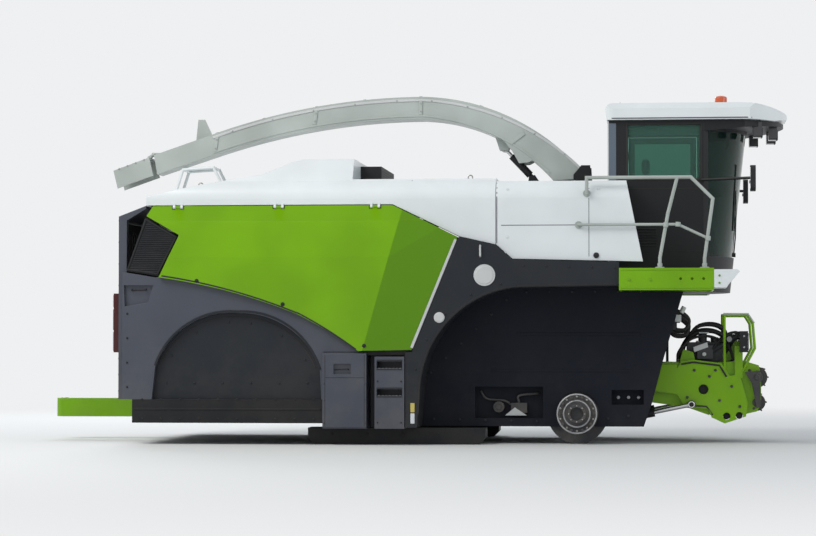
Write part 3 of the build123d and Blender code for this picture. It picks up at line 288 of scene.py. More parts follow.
def place_group(tree, name, vector, **values):
    inputs = {label.replace("_", " "): value for label, value in values.items()}
    return add_node(tree, "Group", {"Vector": vector, **inputs}, node_tree=groups[name]).outputs


dust_colour = (0.3, 0.25, 0.18, 1.0)
bare_metal = (0.35, 0.34, 0.33, 1.0)
coat_roughness = 0.12
grain_depth = 0.02
glass_clear = 0.82
glass_index = 1.2
finishes = {}


def new_finish(name, **inputs):
    """Material with its shader's inputs set, entered among the finishes."""
    finishes[name] = bpy.data.materials.new(name)
    finishes[name].use_nodes = True
    tree = finishes[name].node_tree
    shader = tree.nodes["Principled BSDF"].inputs
    for label, value in inputs.items():
        shader[label.replace("_", " ")].default_value = value
    return tree, shader


def painted(name, colour, roughness, coat, dust, wear, metal=0.0, low=1.2, bump=0.04, tone=0.08,
            second=None, shine=0.5, folds=None):
    """Finish with tone variation, worn edges and dust over one base colour, or over two split by a mask."""
    tree, shader = new_finish(name, Metallic=metal, Coat_Weight=coat, Coat_Roughness=coat_roughness,
                              Specular_IOR_Level=shine)
    where = add_node(tree, "TexCoord").outputs["Object"]
    grainy = place_group(tree, "surface_grain", where, Broad_Share=0.5)
    edges = place_group(tree, "edge_wear", where, Amount=wear)
    dusty = place_group(tree, "field_dust", where, Amount=dust, Low_Height=low)["Mask"]
    dark, light = (tuple(min(1.0, c * share) for c in colour) + (1.0,) for share in (1.0 - tone, 1.0 + tone))
    toned = mix_colour(tree, ramp(tree, grainy["Tone"], 0.3, 0.7), dark, light)
    if second is not None:
        other_colour, make_mask = second
        toned = mix_colour(tree, make_mask(tree, where), toned, other_colour)
    chipped = mix_colour(tree, edges["Mask"], toned, bare_metal)
    tree.links.new(mix_colour(tree, dusty, chipped, dust_colour), shader["Base Color"])
    rough = math_node(tree, "ADD", math_node(tree, "MULTIPLY", dusty, 0.5), roughness, clamp=True)
    tree.links.new(rough, shader["Roughness"])
    normal = edges["Round Normal"]
    if folds is not None:
        normal = add_node(tree, "Bump", {"Distance": 1.0, "Height": folds(tree, where),
                                         "Normal": normal}).outputs[0]
    bumped = add_node(tree, "Bump", {"Strength": bump, "Distance": grain_depth, "Height": grainy["Height"],
                                     "Normal": normal})
    tree.links.new(bumped.outputs[0], shader["Normal"])


def tinted_glass(name, colour):
    new_finish(name, Base_Color=colour + (1.0,), Roughness=0.03, Transmission_Weight=glass_clear,
               IOR=glass_index)


# Masks and folds of the two finishes with a second colour: painted shade on the side panels' nose facet, and
# the intake's two-tone paint

crease_high = (-1.72, 2.17)
crease_low = (-2.06, 0.96)
nose_fall = 0.24
top_fold = 2.185
top_fall = 0.8
plate_inside = 0.4395
plate_outside = 0.4805


def past(tree, value, limit):
    """How far a value goes past a limit, 0 before it."""
    return math_node(tree, "MAXIMUM", math_node(tree, "SUBTRACT", value, limit), 0.0)


def past_crease(tree, where):
    """Distance ahead of the side panel's leaning crease, 0 behind it."""
    spot = split(tree, where)
    lean = (crease_high[0] - crease_low[0]) / (crease_high[1] - crease_low[1])
    foot = hub_x + crease_high[0] - lean * crease_high[1]
    line = math_node(tree, "ADD", math_node(tree, "MULTIPLY", spot["Z"], lean), foot)
    return past(tree, spot["X"], line)


def panel_folds(tree, where):
    """Height of the side panel's skin, which falls away ahead of the crease and above the top fold."""
    fall = math_node(tree, "MULTIPLY", past_crease(tree, where), -nose_fall)
    above = past(tree, split(tree, where)["Z"], top_fold)
    return math_node(tree, "SUBTRACT", fall, math_node(tree, "MULTIPLY", above, top_fall))


# Mask of the side panel's nose facet ahead of the crease, where the lime gets painted shade
def panel_nose_shade_mask(tree, where):
    return ramp(tree, past_crease(tree, where), 0.0, 0.01)


def behind_plates(tree, where):
    """1 on the intake's trunk, cheeks and beam, 0 on its lime side plates and hoops."""
    wide = math_node(tree, "ABSOLUTE", split(tree, where)["Y"])
    inside = math_node(tree, "LESS_THAN", wide, plate_inside)
    beyond = math_node(tree, "GREATER_THAN", wide, plate_outside)
    return math_node(tree, "MAXIMUM", inside, beyond)


lime = (0.168, 0.385, 0.0)
# Darker lime painted on the side panels' nose facet: painted shade
lime_painted_shade = (0.115, 0.29, 0.0, 1.0)
dark_metal = (0.012, 0.013, 0.015, 1.0)


def make_finishes():
    """The record's slots first, then those of the small pieces; numbers: roughness, coat, dust, wear."""
    painted("lime_paint", lime, 0.3, 0.08, 0.1, 0.15, low=1.4, shine=0.22)
    painted("white_paint", (0.74, 0.78, 0.78), 0.36, 0.25, 0.12, 0.1, low=1.4, tone=0.04)
    painted("spout_paint", (0.4, 0.44, 0.41), 0.45, 0.15, 0.3, 0.25, tone=0.12)
    painted("grey_paint", (0.046, 0.053, 0.074), 0.45, 0.1, 0.15, 0.2)
    painted("dark_panel", (0.01, 0.013, 0.018), 0.5, 0.02, 0.07, 0.1, shine=0.3)
    painted("black_frame", (0.006, 0.007, 0.009), 0.5, 0.02, 0.05, 0.2, shine=0.3)
    painted("dark_mesh", (0.008, 0.009, 0.011), 0.6, 0.0, 0.14, 0.1, shine=0.3)
    painted("cast_drive", (0.035, 0.037, 0.042), 0.6, 0.0, 0.35, 0.5, bump=0.3)
    painted("bare_steel", (0.55, 0.55, 0.56), 0.2, 0.0, 0.1, 0.0, metal=1.0)
    tinted_glass("cab_glass", (0.17, 0.36, 0.29))
    painted("seat_fabric", (0.02, 0.02, 0.023), 0.9, 0.0, 0.1, 0.0, bump=0.2)
    painted("black_plastic", (0.008, 0.009, 0.011), 0.5, 0.0, 0.08, 0.05, shine=0.35)
    painted("lamp_lens", (0.03, 0.03, 0.033), 0.3, 0.4, 0.1, 0.0)
    painted("amber_lens", (0.62, 0.09, 0.015), 0.2, 0.5, 0.08, 0.0)
    painted("red_lens", (0.05, 0.004, 0.005), 0.3, 0.1, 0.15, 0.0, shine=0.3)
    painted("rubber", (0.011, 0.011, 0.012), 0.75, 0.0, 0.2, 0.0)
    painted("zinc", (0.3, 0.3, 0.29), 0.35, 0.0, 0.25, 0.2, metal=0.9)
    painted("worn_ring", (0.42, 0.42, 0.43), 0.4, 0.0, 0.2, 0.3, metal=0.4)
    painted("pale_plastic", (0.55, 0.56, 0.55), 0.4, 0.1, 0.15, 0.1)
    painted("marker_yellow", (0.62, 0.5, 0.1), 0.4, 0.1, 0.3, 0.1)
    painted("clear_lens", (0.62, 0.64, 0.66), 0.08, 0.6, 0.0, 0.0)
    painted("mirror_glass", (0.75, 0.77, 0.8), 0.03, 0.0, 0.0, 0.0, metal=1.0, bump=0.0)
    painted("post_blue", (0.09, 0.12, 0.16), 0.35, 0.2, 0.1, 0.1)
    # Side panels: the darker lime on the nose facet is painted shade; the folds are a bump
    painted("panel_lime_painted_shade", lime, 0.3, 0.08, 0.06, 0.12, low=1.4, shine=0.22,
            second=(lime_painted_shade, panel_nose_shade_mask), folds=panel_folds)
    painted("arch_black", (0.005, 0.007, 0.014), 0.6, 0.0, 0.04, 0.05, shine=0.2)
    tinted_glass("screen_glass", (0.05, 0.11, 0.09))
    painted("lamp_grey", (0.2, 0.2, 0.21), 0.2, 0.3, 0.1, 0.0)
    # Intake: its lime is lighter than lime_paint as painted light, since the intake stands in shade; the dark
    # trunk, cheeks and beam are two-tone paint
    painted("intake_lime_painted_light", (0.215, 0.47, 0.0), 0.36, 0.08, 0.2, 0.35, low=1.0, shine=0.25,
            second=(dark_metal, behind_plates))


own_finish = {"intake_housing": "intake_lime_painted_light", "inner_walls": "arch_black", "windscreen": "screen_glass",
              "side_panel_right": "panel_lime_painted_shade", "side_panel_left": "panel_lime_painted_shade"}


def dress_nodes():
    for part in frame["record"]["subparts"]:
        mesh = nodes[part["node"]].data
        mesh.materials.clear()
        mesh.materials.append(finishes[own_finish.get(part["node"], part["material_slot"])])


# Drawing of the small pieces

def make_piece(drawing, name, finish):
    """Object with smooth faces and one finish, made from a finished drawing."""
    bmesh.ops.recalc_face_normals(drawing, faces=drawing.faces)
    mesh = bpy.data.meshes.new(name)
    drawing.to_mesh(mesh)
    drawing.free()
    for face in mesh.polygons:
        face.use_smooth = True
    mesh.materials.append(finishes[finish])
    return link(bpy.data.objects.new(name, mesh))


def settle(piece, body):
    """Ties a piece to its body."""
    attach(piece, body)


def around(count, radius, start=0.0):
    """Points evenly spaced on a circle about 0, 0."""
    turns = [2 * math.pi * (i + start) / count for i in range(count)]
    return [(radius * math.cos(turn), radius * math.sin(turn)) for turn in turns]


def along(start, end, count):
    """Points evenly spaced from start to end."""
    shares = [i / max(count - 1, 1) for i in range(count)]
    return [[a + (b - a) * share for a, b in zip(start, end)] for share in shares]


band_sink = 0.006
band_step = 0.05
hose_steps = 6
ring_section = 8
sharp_above = math.radians(35)
bevel_above = math.radians(40)


class Draft:
    """Mesh of one piece while it is drawn; places are (ahead of hub, sideways, height). A draft with a side
    is drawn as on the left, moved to its side and named after it."""

    def __init__(self, side=None):
        self.mesh = bmesh.new()
        self.sign = side or 1
        self.suffix = suffixes.get(side, "")

    def at(self, place, offset=(0, 0, 0)):
        """Point in the world for a place of the draft."""
        (x, y, z), (dx, dy, dz) = place, offset
        return at(x, y * self.sign, z) + Vector((dx, dy * self.sign, dz))

    def loop(self, spots):
        """New corners of the mesh at points in the world."""
        return [self.mesh.verts.new(spot) for spot in spots]

    def wall(self, near, far):
        """Faces between two closed loops."""
        for k in range(len(near)):
            j = (k + 1) % len(near)
            self.mesh.faces.new([near[k], near[j], far[j], far[k]])

    def pipe(self, loops):
        """Faces along a row of loops, closed at both ends."""
        for near, far in zip(loops, loops[1:]):
            self.wall(near, far)
        self.mesh.faces.new(list(reversed(loops[0])))
        self.mesh.faces.new(loops[-1])
        return self

    def box(self, low, high):
        y0, y1 = sorted((low[1] * self.sign, high[1] * self.sign))
        corners = [at(x, y, z) for x in (low[0], high[0]) for y in (y0, y1) for z in (low[2], high[2])]
        spots = self.loop(corners)
        for face in ((0, 1, 3, 2), (4, 6, 7, 5), (0, 4, 5, 1), (2, 3, 7, 6), (0, 2, 6, 4), (1, 5, 7, 3)):
            self.mesh.faces.new([spots[i] for i in face])
        return self

    def boxes(self, count, pitch, low, high):
        """Row of equal boxes, each moved on by the pitch."""
        for i in range(count):
            self.box(*[[a + i * step for a, step in zip(corner, pitch)] for corner in (low, high)])
        return self

    def rod(self, start, end, radius, rim=20, far_radius=None):
        a, b = self.at(start), self.at(end)
        turn = (b - a).to_track_quat("Z", "Y").to_matrix().to_4x4()
        end_radius = radius if far_radius is None else far_radius
        bmesh.ops.create_cone(self.mesh, cap_ends=True, segments=rim, radius1=radius, radius2=end_radius,
                              depth=(b - a).length, matrix=Matrix.Translation((a + b) / 2) @ turn)
        return self

    def disc(self, place, back, front, radius, rim=24, far_radius=None):
        """Round plate that stands sideways, from back to front of a place."""
        x, y, z = place
        return self.rod((x, y + back, z), (x, y + front, z), radius, rim, far_radius)

    def slab(self, corners, offset):
        """Flat outline of places, thickened by an offset."""
        return self.pipe([self.loop([self.at(corner) for corner in corners]),
                          self.loop([self.at(corner, offset) for corner in corners])])

    def slat(self, back, front, inner, outer, z, drop, thick):
        """Flat slat that drops towards its outer edge."""
        low = z - drop
        return self.slab([(back, inner, z), (front, inner, z), (front, outer, low), (back, outer, low)],
                         (0, 0, thick))

    def plate(self, y, thick, *outline):
        """Upright plate beside the machine, its outline (ahead, height)."""
        return self.slab([(x, y, z) for x, z in outline], (0, thick, 0))

    def hose(self, radius, *places):
        """Pipe that bends smoothly through the places."""
        knots = [Vector(place) for place in places]
        knots = [2 * knots[0] - knots[1]] + knots + [2 * knots[-1] - knots[-2]]
        line = []
        for i in range(1, len(knots) - 2):
            p0, p1, p2, p3 = knots[i - 1:i + 3]
            for t in (k / hose_steps for k in range(hose_steps)):
                line.append(0.5 * (2 * p1 + (p2 - p0) * t + (2 * p0 - 5 * p1 + 4 * p2 - p3) * t * t
                                   + (3 * p1 - p0 - 3 * p2 + p3) * t ** 3))
        return self.tube(line + [knots[-2]], radius)

    def tube(self, places, radius, rim=10):
        """Pipe through the places, mitred where it bends."""
        spots = [self.at(place) for place in places]
        ways = [(b - a).normalized() for a, b in zip(spots, spots[1:])]
        side = ways[0].orthogonal().normalized()
        loops = []
        for spot, before, after in zip(spots, ways[:1] + ways, ways + ways[-1:]):
            middle = (before + after).normalized()
            side = (side - middle * side.dot(middle)).normalized()
            other = middle.cross(side)
            loops.append(self.loop([spot + (side * u + other * v) * radius for u, v in around(rim, 1.0)]))
        return self.pipe(loops)

    def ring(self, centre, axis, radius, thick, rim=36):
        """Closed round ring about an axis."""
        way = Vector(axis).normalized()
        side = way.orthogonal().normalized()
        other = way.cross(side)
        loops = []
        for u, v in around(rim, 1.0):
            out = side * u + other * v
            loops.append(self.loop([self.at(centre) + out * (radius + a) + way * b
                                    for a, b in around(ring_section, thick)]))
        for near, far in zip(loops, loops[1:] + loops[:1]):
            self.wall(near, far)
        return self

    def dome(self, centre, radius, height, rim, rows):
        """Round cap that bulges upward."""
        loops = []
        for lift in (math.pi / 2 * row / rows for row in range(rows)):
            loops.append(self.loop([self.at(centre) + Vector((x, y, height * math.sin(lift)))
                                    for x, y in around(rim, radius * math.cos(lift))]))
        for near, far in zip(loops, loops[1:]):
            self.wall(near, far)
        top = self.mesh.verts.new(self.at(centre) + Vector((0, 0, height)))
        for k in range(rim):
            self.mesh.faces.new([loops[-1][k], loops[-1][(k + 1) % rim], top])
        self.mesh.faces.new(list(reversed(loops[0])))
        return self

    def bolt(self, place, out, size=0.012):
        """Hexagon head on a washer, standing along out."""
        foot, way = Vector(place), Vector(out).normalized()
        washer = foot + way * size * 0.25
        self.rod(foot - way * 0.001, washer, size * 1.05, 14)
        return self.rod(washer, foot + way * size * 0.9, size * 0.85, 6)

    def bolts(self, start, end, count, out, size=0.012):
        """Row of bolts, evenly spaced from start to end."""
        for place in along(start, end, count):
            self.bolt(place, out, size)
        return self

    def bolts_on(self, skin, size, places, lift=0.0):
        """Bolts at places of a skin; those past its edge are left out."""
        for u, v in places:
            place = skin.place(u, v, lift)
            if place is not None:
                self.bolt(place, skin.way, size)
        return self

    def rows_on(self, skin, size, *rows):
        """Rows of bolts on a skin, each given as start, end and count."""
        for row in rows:
            self.bolts_on(skin, size, along(*row))
        return self

    def band(self, skin, width, rise, *lines):
        """Flat strips along lines that are drawn on a skin."""
        for line in lines:
            self.strip(skin, width, rise, line)
        return self

    def strip(self, skin, width, rise, line):
        """One flat strip; where its edge leaves the skin, it goes on level with the middle."""
        points = []
        for (u0, v0), (u1, v1) in zip(line, line[1:]):
            count = max(1, round(math.hypot(u1 - u0, v1 - v0) / band_step))
            points += [(u0 + (u1 - u0) * i / count, v0 + (v1 - v0) * i / count) for i in range(count)]
        points.append(line[-1])
        rows = []
        last = None
        for i, (u, v) in enumerate(points):
            before, after = points[max(i - 1, 0)], points[min(i + 1, len(points) - 1)]
            du, dv = after[0] - before[0], after[1] - before[1]
            run = math.hypot(du, dv) or 1.0
            across = (-dv / run * width / 2, du / run * width / 2)
            middle = skin.spot(u, v) or last
            if middle is None:
                continue
            last = middle
            row = []
            for sign in (-1, 1):
                a, b = across[0] * sign, across[1] * sign
                edge = skin.spot(u + a, v + b)
                if edge is None or (edge - middle).length > 3 * width:
                    edge = middle + skin.shift(a, b)
                row += [edge + skin.out * rise, edge - skin.out * band_sink]
            rows.append(self.loop(row))
        for a, b in zip(rows, rows[1:]):
            for i, j in ((0, 2), (2, 3), (3, 1), (1, 0)):
                self.mesh.faces.new([a[i], a[j], b[j], b[i]])
        for end in (rows[0], rows[-1]):
            self.mesh.faces.new([end[0], end[2], end[3], end[1]])

    def put(self, name, finish, bevel=0.0, body="chassis"):
        """Turns the drawing into a piece that rides on a body."""
        piece = make_piece(self.mesh, name + self.suffix, finish)
        piece.data.set_sharp_from_angle(angle=sharp_above)
        if bevel > 0:
            edges = piece.modifiers.new("broken_edges", "BEVEL")
            edges.width = bevel
            edges.segments = 2
            edges.limit_method = "ANGLE"
            edges.angle_limit = bevel_above
        settle(piece, body)


# Skins of the CAD solids, which carry the small pieces

class Skin:
    """Outer face of one node, seen from the side (places ahead, height), from the top (ahead, sideways), or
    from the rear or front (sideways, height). Sideways and the side view turn over with the skin's side."""

    trees = {}    # one search tree for each node

    def __init__(self, node, side=1, view="side", far=3.0):
        if node not in self.trees:
            mesh = nodes[node].data
            self.trees[node] = BVHTree.FromPolygons([v.co for v in mesh.vertices],
                                                    [p.vertices for p in mesh.polygons])
        self.tree = self.trees[node]
        self.side = side
        self.way, self.start, self.axes = {
            "side": (Vector((0, 1, 0)), (None, far, None), (0, 2)),
            "top": (Vector((0, 0, 1)), (None, None, 4.0), (0, 1)),
            "rear": (Vector((-1, 0, 0)), (-7.0, None, None), (1, 2)),
            "front": (Vector((1, 0, 0)), (4.0, None, None), (1, 2))}[view]
        self.out = Vector((self.way.x, self.way.y * side, self.way.z))

    def spot(self, u, v):
        """Point of the skin in the world, or None past its edge."""
        x, y, z = (given if given is not None else (u, v)[self.axes.index(axis)]
                   for axis, given in enumerate(self.start))
        return self.tree.ray_cast(at(x, y * self.side, z), -self.out)[0]

    def place(self, u, v, lift=0.0):
        """The same point as a place of a draft, moved outward by the lift."""
        spot = self.spot(u, v)
        if spot is None:
            return None
        return spot.x - hub_x, spot.y * self.side + lift, spot.z

    def shift(self, a, b):
        """Shift in space for a shift over the skin."""
        move = Vector((0, 0, 0))
        move[self.axes[0]], move[self.axes[1]] = a, b
        return move


def flat_arc(start, via, end, count=14):
    """Points on the round arc through three (ahead of hub, height) points."""
    (ax, az), (bx, bz), (cx, cz) = start, via, end
    d = 2 * (ax * (bz - cz) + bx * (cz - az) + cx * (az - bz))
    a2, b2, c2 = ax * ax + az * az, bx * bx + bz * bz, cx * cx + cz * cz
    ox = (a2 * (bz - cz) + b2 * (cz - az) + c2 * (az - bz)) / d
    oz = (a2 * (cx - bx) + b2 * (ax - cx) + c2 * (bx - ax)) / d
    radius = math.hypot(ax - ox, az - oz)
    first = math.atan2(az - oz, ax - ox)
    middle, last = ((math.atan2(z - oz, x - ox) - first + math.pi) % (2 * math.pi) - math.pi
                    for x, z in (via, end))
    if middle * last < 0:
        last -= math.copysign(2 * math.pi, last)
    turns = [first + last * i / count for i in range(count + 1)]
    return [(ox + radius * math.cos(turn), oz + radius * math.sin(turn)) for turn in turns]


def closed_frame(u0, v0, u1, v1):
    """Outline of a rectangle, back to its start."""
    return [(u0, v0), (u1, v0), (u1, v1), (u0, v1), (u0, v0)]


def span_at(outline, z):
    """Least and greatest ahead value of a closed outline at one height."""
    cuts = []
    for (x0, z0), (x1, z1) in zip(outline, outline[1:]):
        if (z0 - z) * (z1 - z) <= 0 and z0 != z1:
            cuts.append(x0 + (x1 - x0) * (z - z0) / (z1 - z0))
    return (min(cuts), max(cuts)) if len(cuts) > 1 else None


# Lime side panels

panel_nose = [(-1.16, 2.0), (-1.59, 0.945)]
panel_arch = (flat_arc((-2.13, 0.93), (-2.41, 1.12), (-2.7, 1.285))
              + flat_arc((-2.72, 1.29), (-3.32, 1.495), (-4.05, 1.65)))
panel_latches = ((-2.05, 0.965), (-2.85, 1.37), (-3.7, 1.6))


@both_sides
def side_panels(side):
    body = "side_panel" + suffixes[side]
    skin = Skin(body, side)
    Draft(side).band(skin, 0.026, 0.004, panel_nose).put("panel_nose_strip", "pale_plastic", 0.001, body)
    # Dark rubber strips along the panel's lower edge and under its foot are drawn as seals to make the shadow
    # line under the panel: painted shadow
    Draft(side).band(skin, 0.014, 0.001, panel_arch).put("panel_arch_shadow_seal", "rubber", 0.0, body)
    latches = Draft(side)
    for u, v in panel_latches:
        x, y, z = skin.place(u, v)
        latches.disc((x, y, z), -0.004, 0.004, 0.02)
        latches.box((x - 0.014, y + 0.002, z - 0.004), (x + 0.014, y + 0.009, z + 0.004))
    latches.put("panel_latches", "black_plastic", 0.001, body)
    Draft(side).box((-2.112, 1.36, 0.872), (-1.56, 1.425, 0.936)).put("panel_foot_shadow_seal", "rubber", 0.004)


# Dark grilles behind the side panels

grille_outline = [(-4.215, 2.205), (-3.918, 2.032), (-4.098, 1.672), (-4.395, 1.716), (-4.215, 2.205)]


@both_sides
def side_grilles(side):
    slats = Draft(side)
    for z in (1.7 + i * 0.021 for i in range(23)):
        span = span_at(grille_outline, z)
        if span and span[1] - span[0] > 0.06:
            a, b = span[0] + 0.012, span[1] - 0.012
            slats.slat(a, b, 1.438, 1.447, z, 0.01, 0.003)
    slats.put("grille_slats", "dark_panel")
    Draft(side).band(Skin("side_grilles", side), 0.016, 0.009, grille_outline).put(
        "grille_frame", "black_plastic", 0.001)


# Rear end: door mesh, handle, lamps

door_face = -4.5


def rear_door_parts():
    Draft().boxes(38, (0, 0, 0.0275), (door_face - 0.006, -1.19, 1.05), (door_face, 1.19, 1.055)).put(
        "rear_mesh_bars", "black_plastic", 0.0, "rear_door")
    grip = door_face - 0.026
    handle = Draft().tube([(door_face, -1.21, 1.45), (grip, -1.21, 1.47), (grip, -1.21, 1.63),
                           (door_face, -1.21, 1.65)], 0.009)
    handle.box((door_face - 0.006, -1.245, 1.52), (door_face, -1.175, 1.58))
    for z in (1.0, 2.14):
        handle.bolts((door_face - 0.001, -1.24, z), (door_face - 0.001, 1.18, z), 9, (-1, 0, 0), 0.009)
    handle.put("rear_door_handle", "zinc", 0.001, "rear_door")


@both_sides
def rear_wall_parts(side):
    for part, low, high, finish in (("turn", 1.345, 1.465, "amber_lens"), ("stop", 1.12, 1.325, "red_lens"),
                                    ("reverse", 0.915, 1.1, "lamp_grey")):
        lens = Draft(side).box((-4.556, 1.329, low), (-4.549, 1.371, high))
        lens.boxes(int((high - low) / 0.02), (0, 0, 0.02), (-4.558, 1.332, low + 0.012),
                   (-4.555, 1.368, low + 0.015)).put("rear_lens_" + part, finish, 0.002)
    Draft(side).rows_on(Skin("rear_wall", side, "rear"), 0.012, ((1.33, 0.52), (1.33, 0.84), 3),
                        ((1.33, 1.56), (1.33, 2.2), 4)).put("rear_wall_bolts", "grey_paint")


# Rear fenders and the flat panels in their arches

rear_arch = (flat_arc((-2.485, 0.72), (-2.685, 1.055), (-3.28, 1.29))
             + flat_arc((-3.3, 1.289), (-3.872, 1.118), (-4.122, 0.76)))
rear_arch_inner = (flat_arc((-2.545, 0.76), (-2.735, 1.03), (-3.28, 1.245))
                   + flat_arc((-3.3, 1.244), (-3.84, 1.09), (-4.07, 0.8)))
arch_middle = -3.28


@both_sides
def rear_fenders(side):
    fender = Skin("rear_fender" + suffixes[side], side)
    panel = Skin("arch_panels", side)
    Draft(side).band(fender, 0.022, 0.005, [(x, z + 0.012) for x, z in rear_arch]).put(
        "rear_arch_lip", "dark_panel", 0.001)
    Draft(side).band(panel, 0.01, 0.003, rear_arch_inner).put("rear_arch_seam", "rubber")
    inward = [(x + (0.035 if x < arch_middle else -0.035), z - 0.05) for x, z in rear_arch_inner[2::5]]
    Draft(side).bolts_on(panel, 0.01, inward).rows_on(panel, 0.01, ((-4.02, 0.6), (-2.62, 0.6), 6)).rows_on(
        fender, 0.01, ((-4.4, 1.28), (-4.4, 0.56), 4)).put("arch_panel_bolts", "dark_panel")
    Draft(side).tube([(-4.36, 1.402, 1.52), (-4.36, 1.428, 1.51), (-4.22, 1.428, 1.51), (-4.22, 1.402, 1.52)],
                     0.007).put("fender_pull", "black_plastic")


# Boxes between the arches

@both_sides
def side_boxes(side):
    skin = Skin("side_boxes", side)
    Draft(side).band(skin, 0.005, 0.0006, [(-2.435, 0.655), (-2.045, 0.655)],
                     *([(x, 0.185), (x, 0.875)] for x in (-2.435, -2.05))).put("box_seams", "rubber")
    Draft(side).tube([(-2.335, 1.458, 0.735), (-2.325, 1.476, 0.735), (-2.215, 1.476, 0.735),
                      (-2.205, 1.458, 0.735)], 0.007).put("box_grip", "black_plastic")
    Draft(side).bolts_on(skin, 0.007, [(x, z) for z in (0.22, 0.44, 0.6) for x in (-2.445, -2.04)]).put(
        "box_bolts", "grey_paint")


@both_sides
def step_boxes(side):
    treads, rims = Draft(side), Draft(side)
    skin = Skin("step_boxes", side)
    for low, high in ((0.745, 0.815), (0.48, 0.545)):
        treads.boxes(7, (0.034, 0, 0), (-1.915, 1.395, low + 0.001), (-1.897, 1.462, low + 0.005))
        for z in (low - 0.01, high + 0.01):
            rims.band(skin, 0.01, 0.003, [(-1.93, z), (-1.68, z)])
    treads.put("step_treads", "zinc")
    rims.bolts_on(skin, 0.008, [(x, z) for z in (0.22, 0.62) for x in (-1.92, -1.69)])
    rims.put("step_rims", "black_plastic")


# Front fenders

front_arch = flat_arc((-0.57, 1.545), (-1.25, 1.2), (-1.515, 0.6))


@both_sides
def front_fenders(side):
    skin = Skin("front_fender" + suffixes[side], side)
    Draft(side).band(skin, 0.02, 0.004, front_arch + [(-1.53, 0.3)], [(-0.56, 1.545), (0.4, 1.56)]).put(
        "front_arch_lip", "black_plastic", 0.001)
    discs = Draft(side)
    for x, z, radius in ((-0.88, 1.65, 0.105), (-1.32, 1.24, 0.052)):
        place = skin.place(x, z)
        discs.disc(place, -0.004, 0.006, radius, 48).disc(place, 0.004, 0.01, radius * 0.86, 48, radius * 0.8)
    discs.put("fender_discs", "pale_plastic", 0.001)
    y = skin.place(-1.58, 0.31)[1]
    for part, low, high, finish in (("lower", 0.21, 0.31, "clear_lens"),
                                    ("upper", 0.32, 0.41, "marker_yellow")):
        Draft(side).box((-1.6, y - 0.004, low), (-1.56, y + 0.006, high)).put(
            "side_marker_" + part, finish, 0.002)
    Draft(side).bolts_on(skin, 0.01, [(x - 0.05, z + 0.035) for x, z in front_arch[1::3]]).rows_on(
        skin, 0.01, ((-0.5, 1.74), (0.38, 1.72), 5)).put("front_fender_bolts", "dark_panel")
    y = skin.place(-0.92, 1.83)[1]
    Draft(side).tube([(-0.92, y - 0.01, 1.83), (-0.92, y + 0.018, 1.84), (-0.92, y + 0.018, 1.93),
                      (-0.92, y - 0.01, 1.94)], 0.01).put("fender_rod", "pale_plastic")


# Walls inside the front arches

@both_sides
def arch_walls(side):
    skin = Skin("inner_walls", side, far=1.3)
    Draft(side).rows_on(skin, 0.012, ((-1.45, 0.7), (-0.7, 1.42), 6), ((-0.5, 1.5), (0.85, 1.5), 7),
                        ((-1.42, 0.24), (-0.4, 0.22), 5), ((0.3, 0.25), (0.7, 0.3), 3)).put(
        "wall_bolts", "dark_panel")
    Draft(side).band(skin, 0.03, 0.003, [(-0.85, 0.72), (0.55, 0.72)], [(-0.6, 1.08), (0.62, 1.08)]).put(
        "wall_ribs", "arch_black", 0.003)
    fittings = Draft(side).disc((-0.78, 0, 0.36), 0.8, 0.88, 0.055).disc((-0.78, 0, 0.36), 0.88, 0.9, 0.03, 6)
    fittings.box((-0.66, 0.795, 0.3), (-0.5, 0.865, 0.4))
    fittings.hose(0.012, (-0.58, 0.84, 0.4), (-0.58, 0.84, 0.47), (-0.42, 0.84, 0.49), (-0.38, 0.8, 0.49))
    fittings.hose(0.01, (-0.96, 0.83, 0.52), (-0.9, 0.83, 0.44), (-0.72, 0.85, 0.42), (-0.64, 0.83, 0.36))
    fittings.put("bay_fittings", "cast_drive", 0.003)
    bright = Draft(side).plate(0.868, 0.008, (-0.72, 0.275), (-0.5, 0.275), (-0.62, 0.355))
    bright.bolts((0.4, 0.805, 0.455), (0.6, 0.805, 0.455), 3, (0, 1, 0), 0.016)
    bright.put("bay_bracket", "pale_plastic", 0.001)


# Drive hubs and their axle

hub_height = 0.3
stud_ring = 0.1675
stud_face = 1.1
cap_ring = 0.078
cap_face = 1.169


@both_sides
def drive_hubs(side):
    body = "hub" + suffixes[side]
    Draft(side).ring((0, 1.099, hub_height), (0, 1, 0), 0.19, 0.009, 60).ring(
        (0, 1.124, hub_height), (0, 1, 0), 0.128, 0.008, 48).put("hub_ring", "worn_ring", 0.0, body)
    nuts = Draft(side)
    for x, z in around(10, stud_ring, 0.5):
        nuts.bolt((x, stud_face, hub_height + z), (0, 1, 0), 0.011)
    for x, z in around(8, cap_ring):
        nuts.bolt((x, cap_face, hub_height + z), (0, 1, 0), 0.008)
    nuts.put("hub_bolts", "zinc", 0.0, body)
    Draft(side).bolts_on(Skin("front_axle", side, "front"), 0.014,
                         [(y, z) for z in (0.36, 0.44) for y in (0.3, 0.7)]).put("axle_bolts", "zinc")


# Belly tray and skids

@both_sides
def belly(side):
    skin = Skin("belly_tray", side)
    Draft(side).rows_on(skin, 0.01, *(((-4.25, z), (-2.55, z), 10) for z in (0.44, 0.25))).put(
        "tray_bolts", "black_frame")
    Draft(side).band(skin, 0.02, 0.005, [(-4.33, 0.345), (-2.48, 0.345)]).put(
        "tray_rib", "black_frame", 0.002)
    skid_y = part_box("belly_skids")[1].y - 0.001
    Draft(side).bolts((-2.4, skid_y, 0.1), (-1.35, skid_y, 0.1), 4, (0, 1, 0)).put(
        "skid_bolts", "black_frame")


# Platforms beside the cab and the rails round them

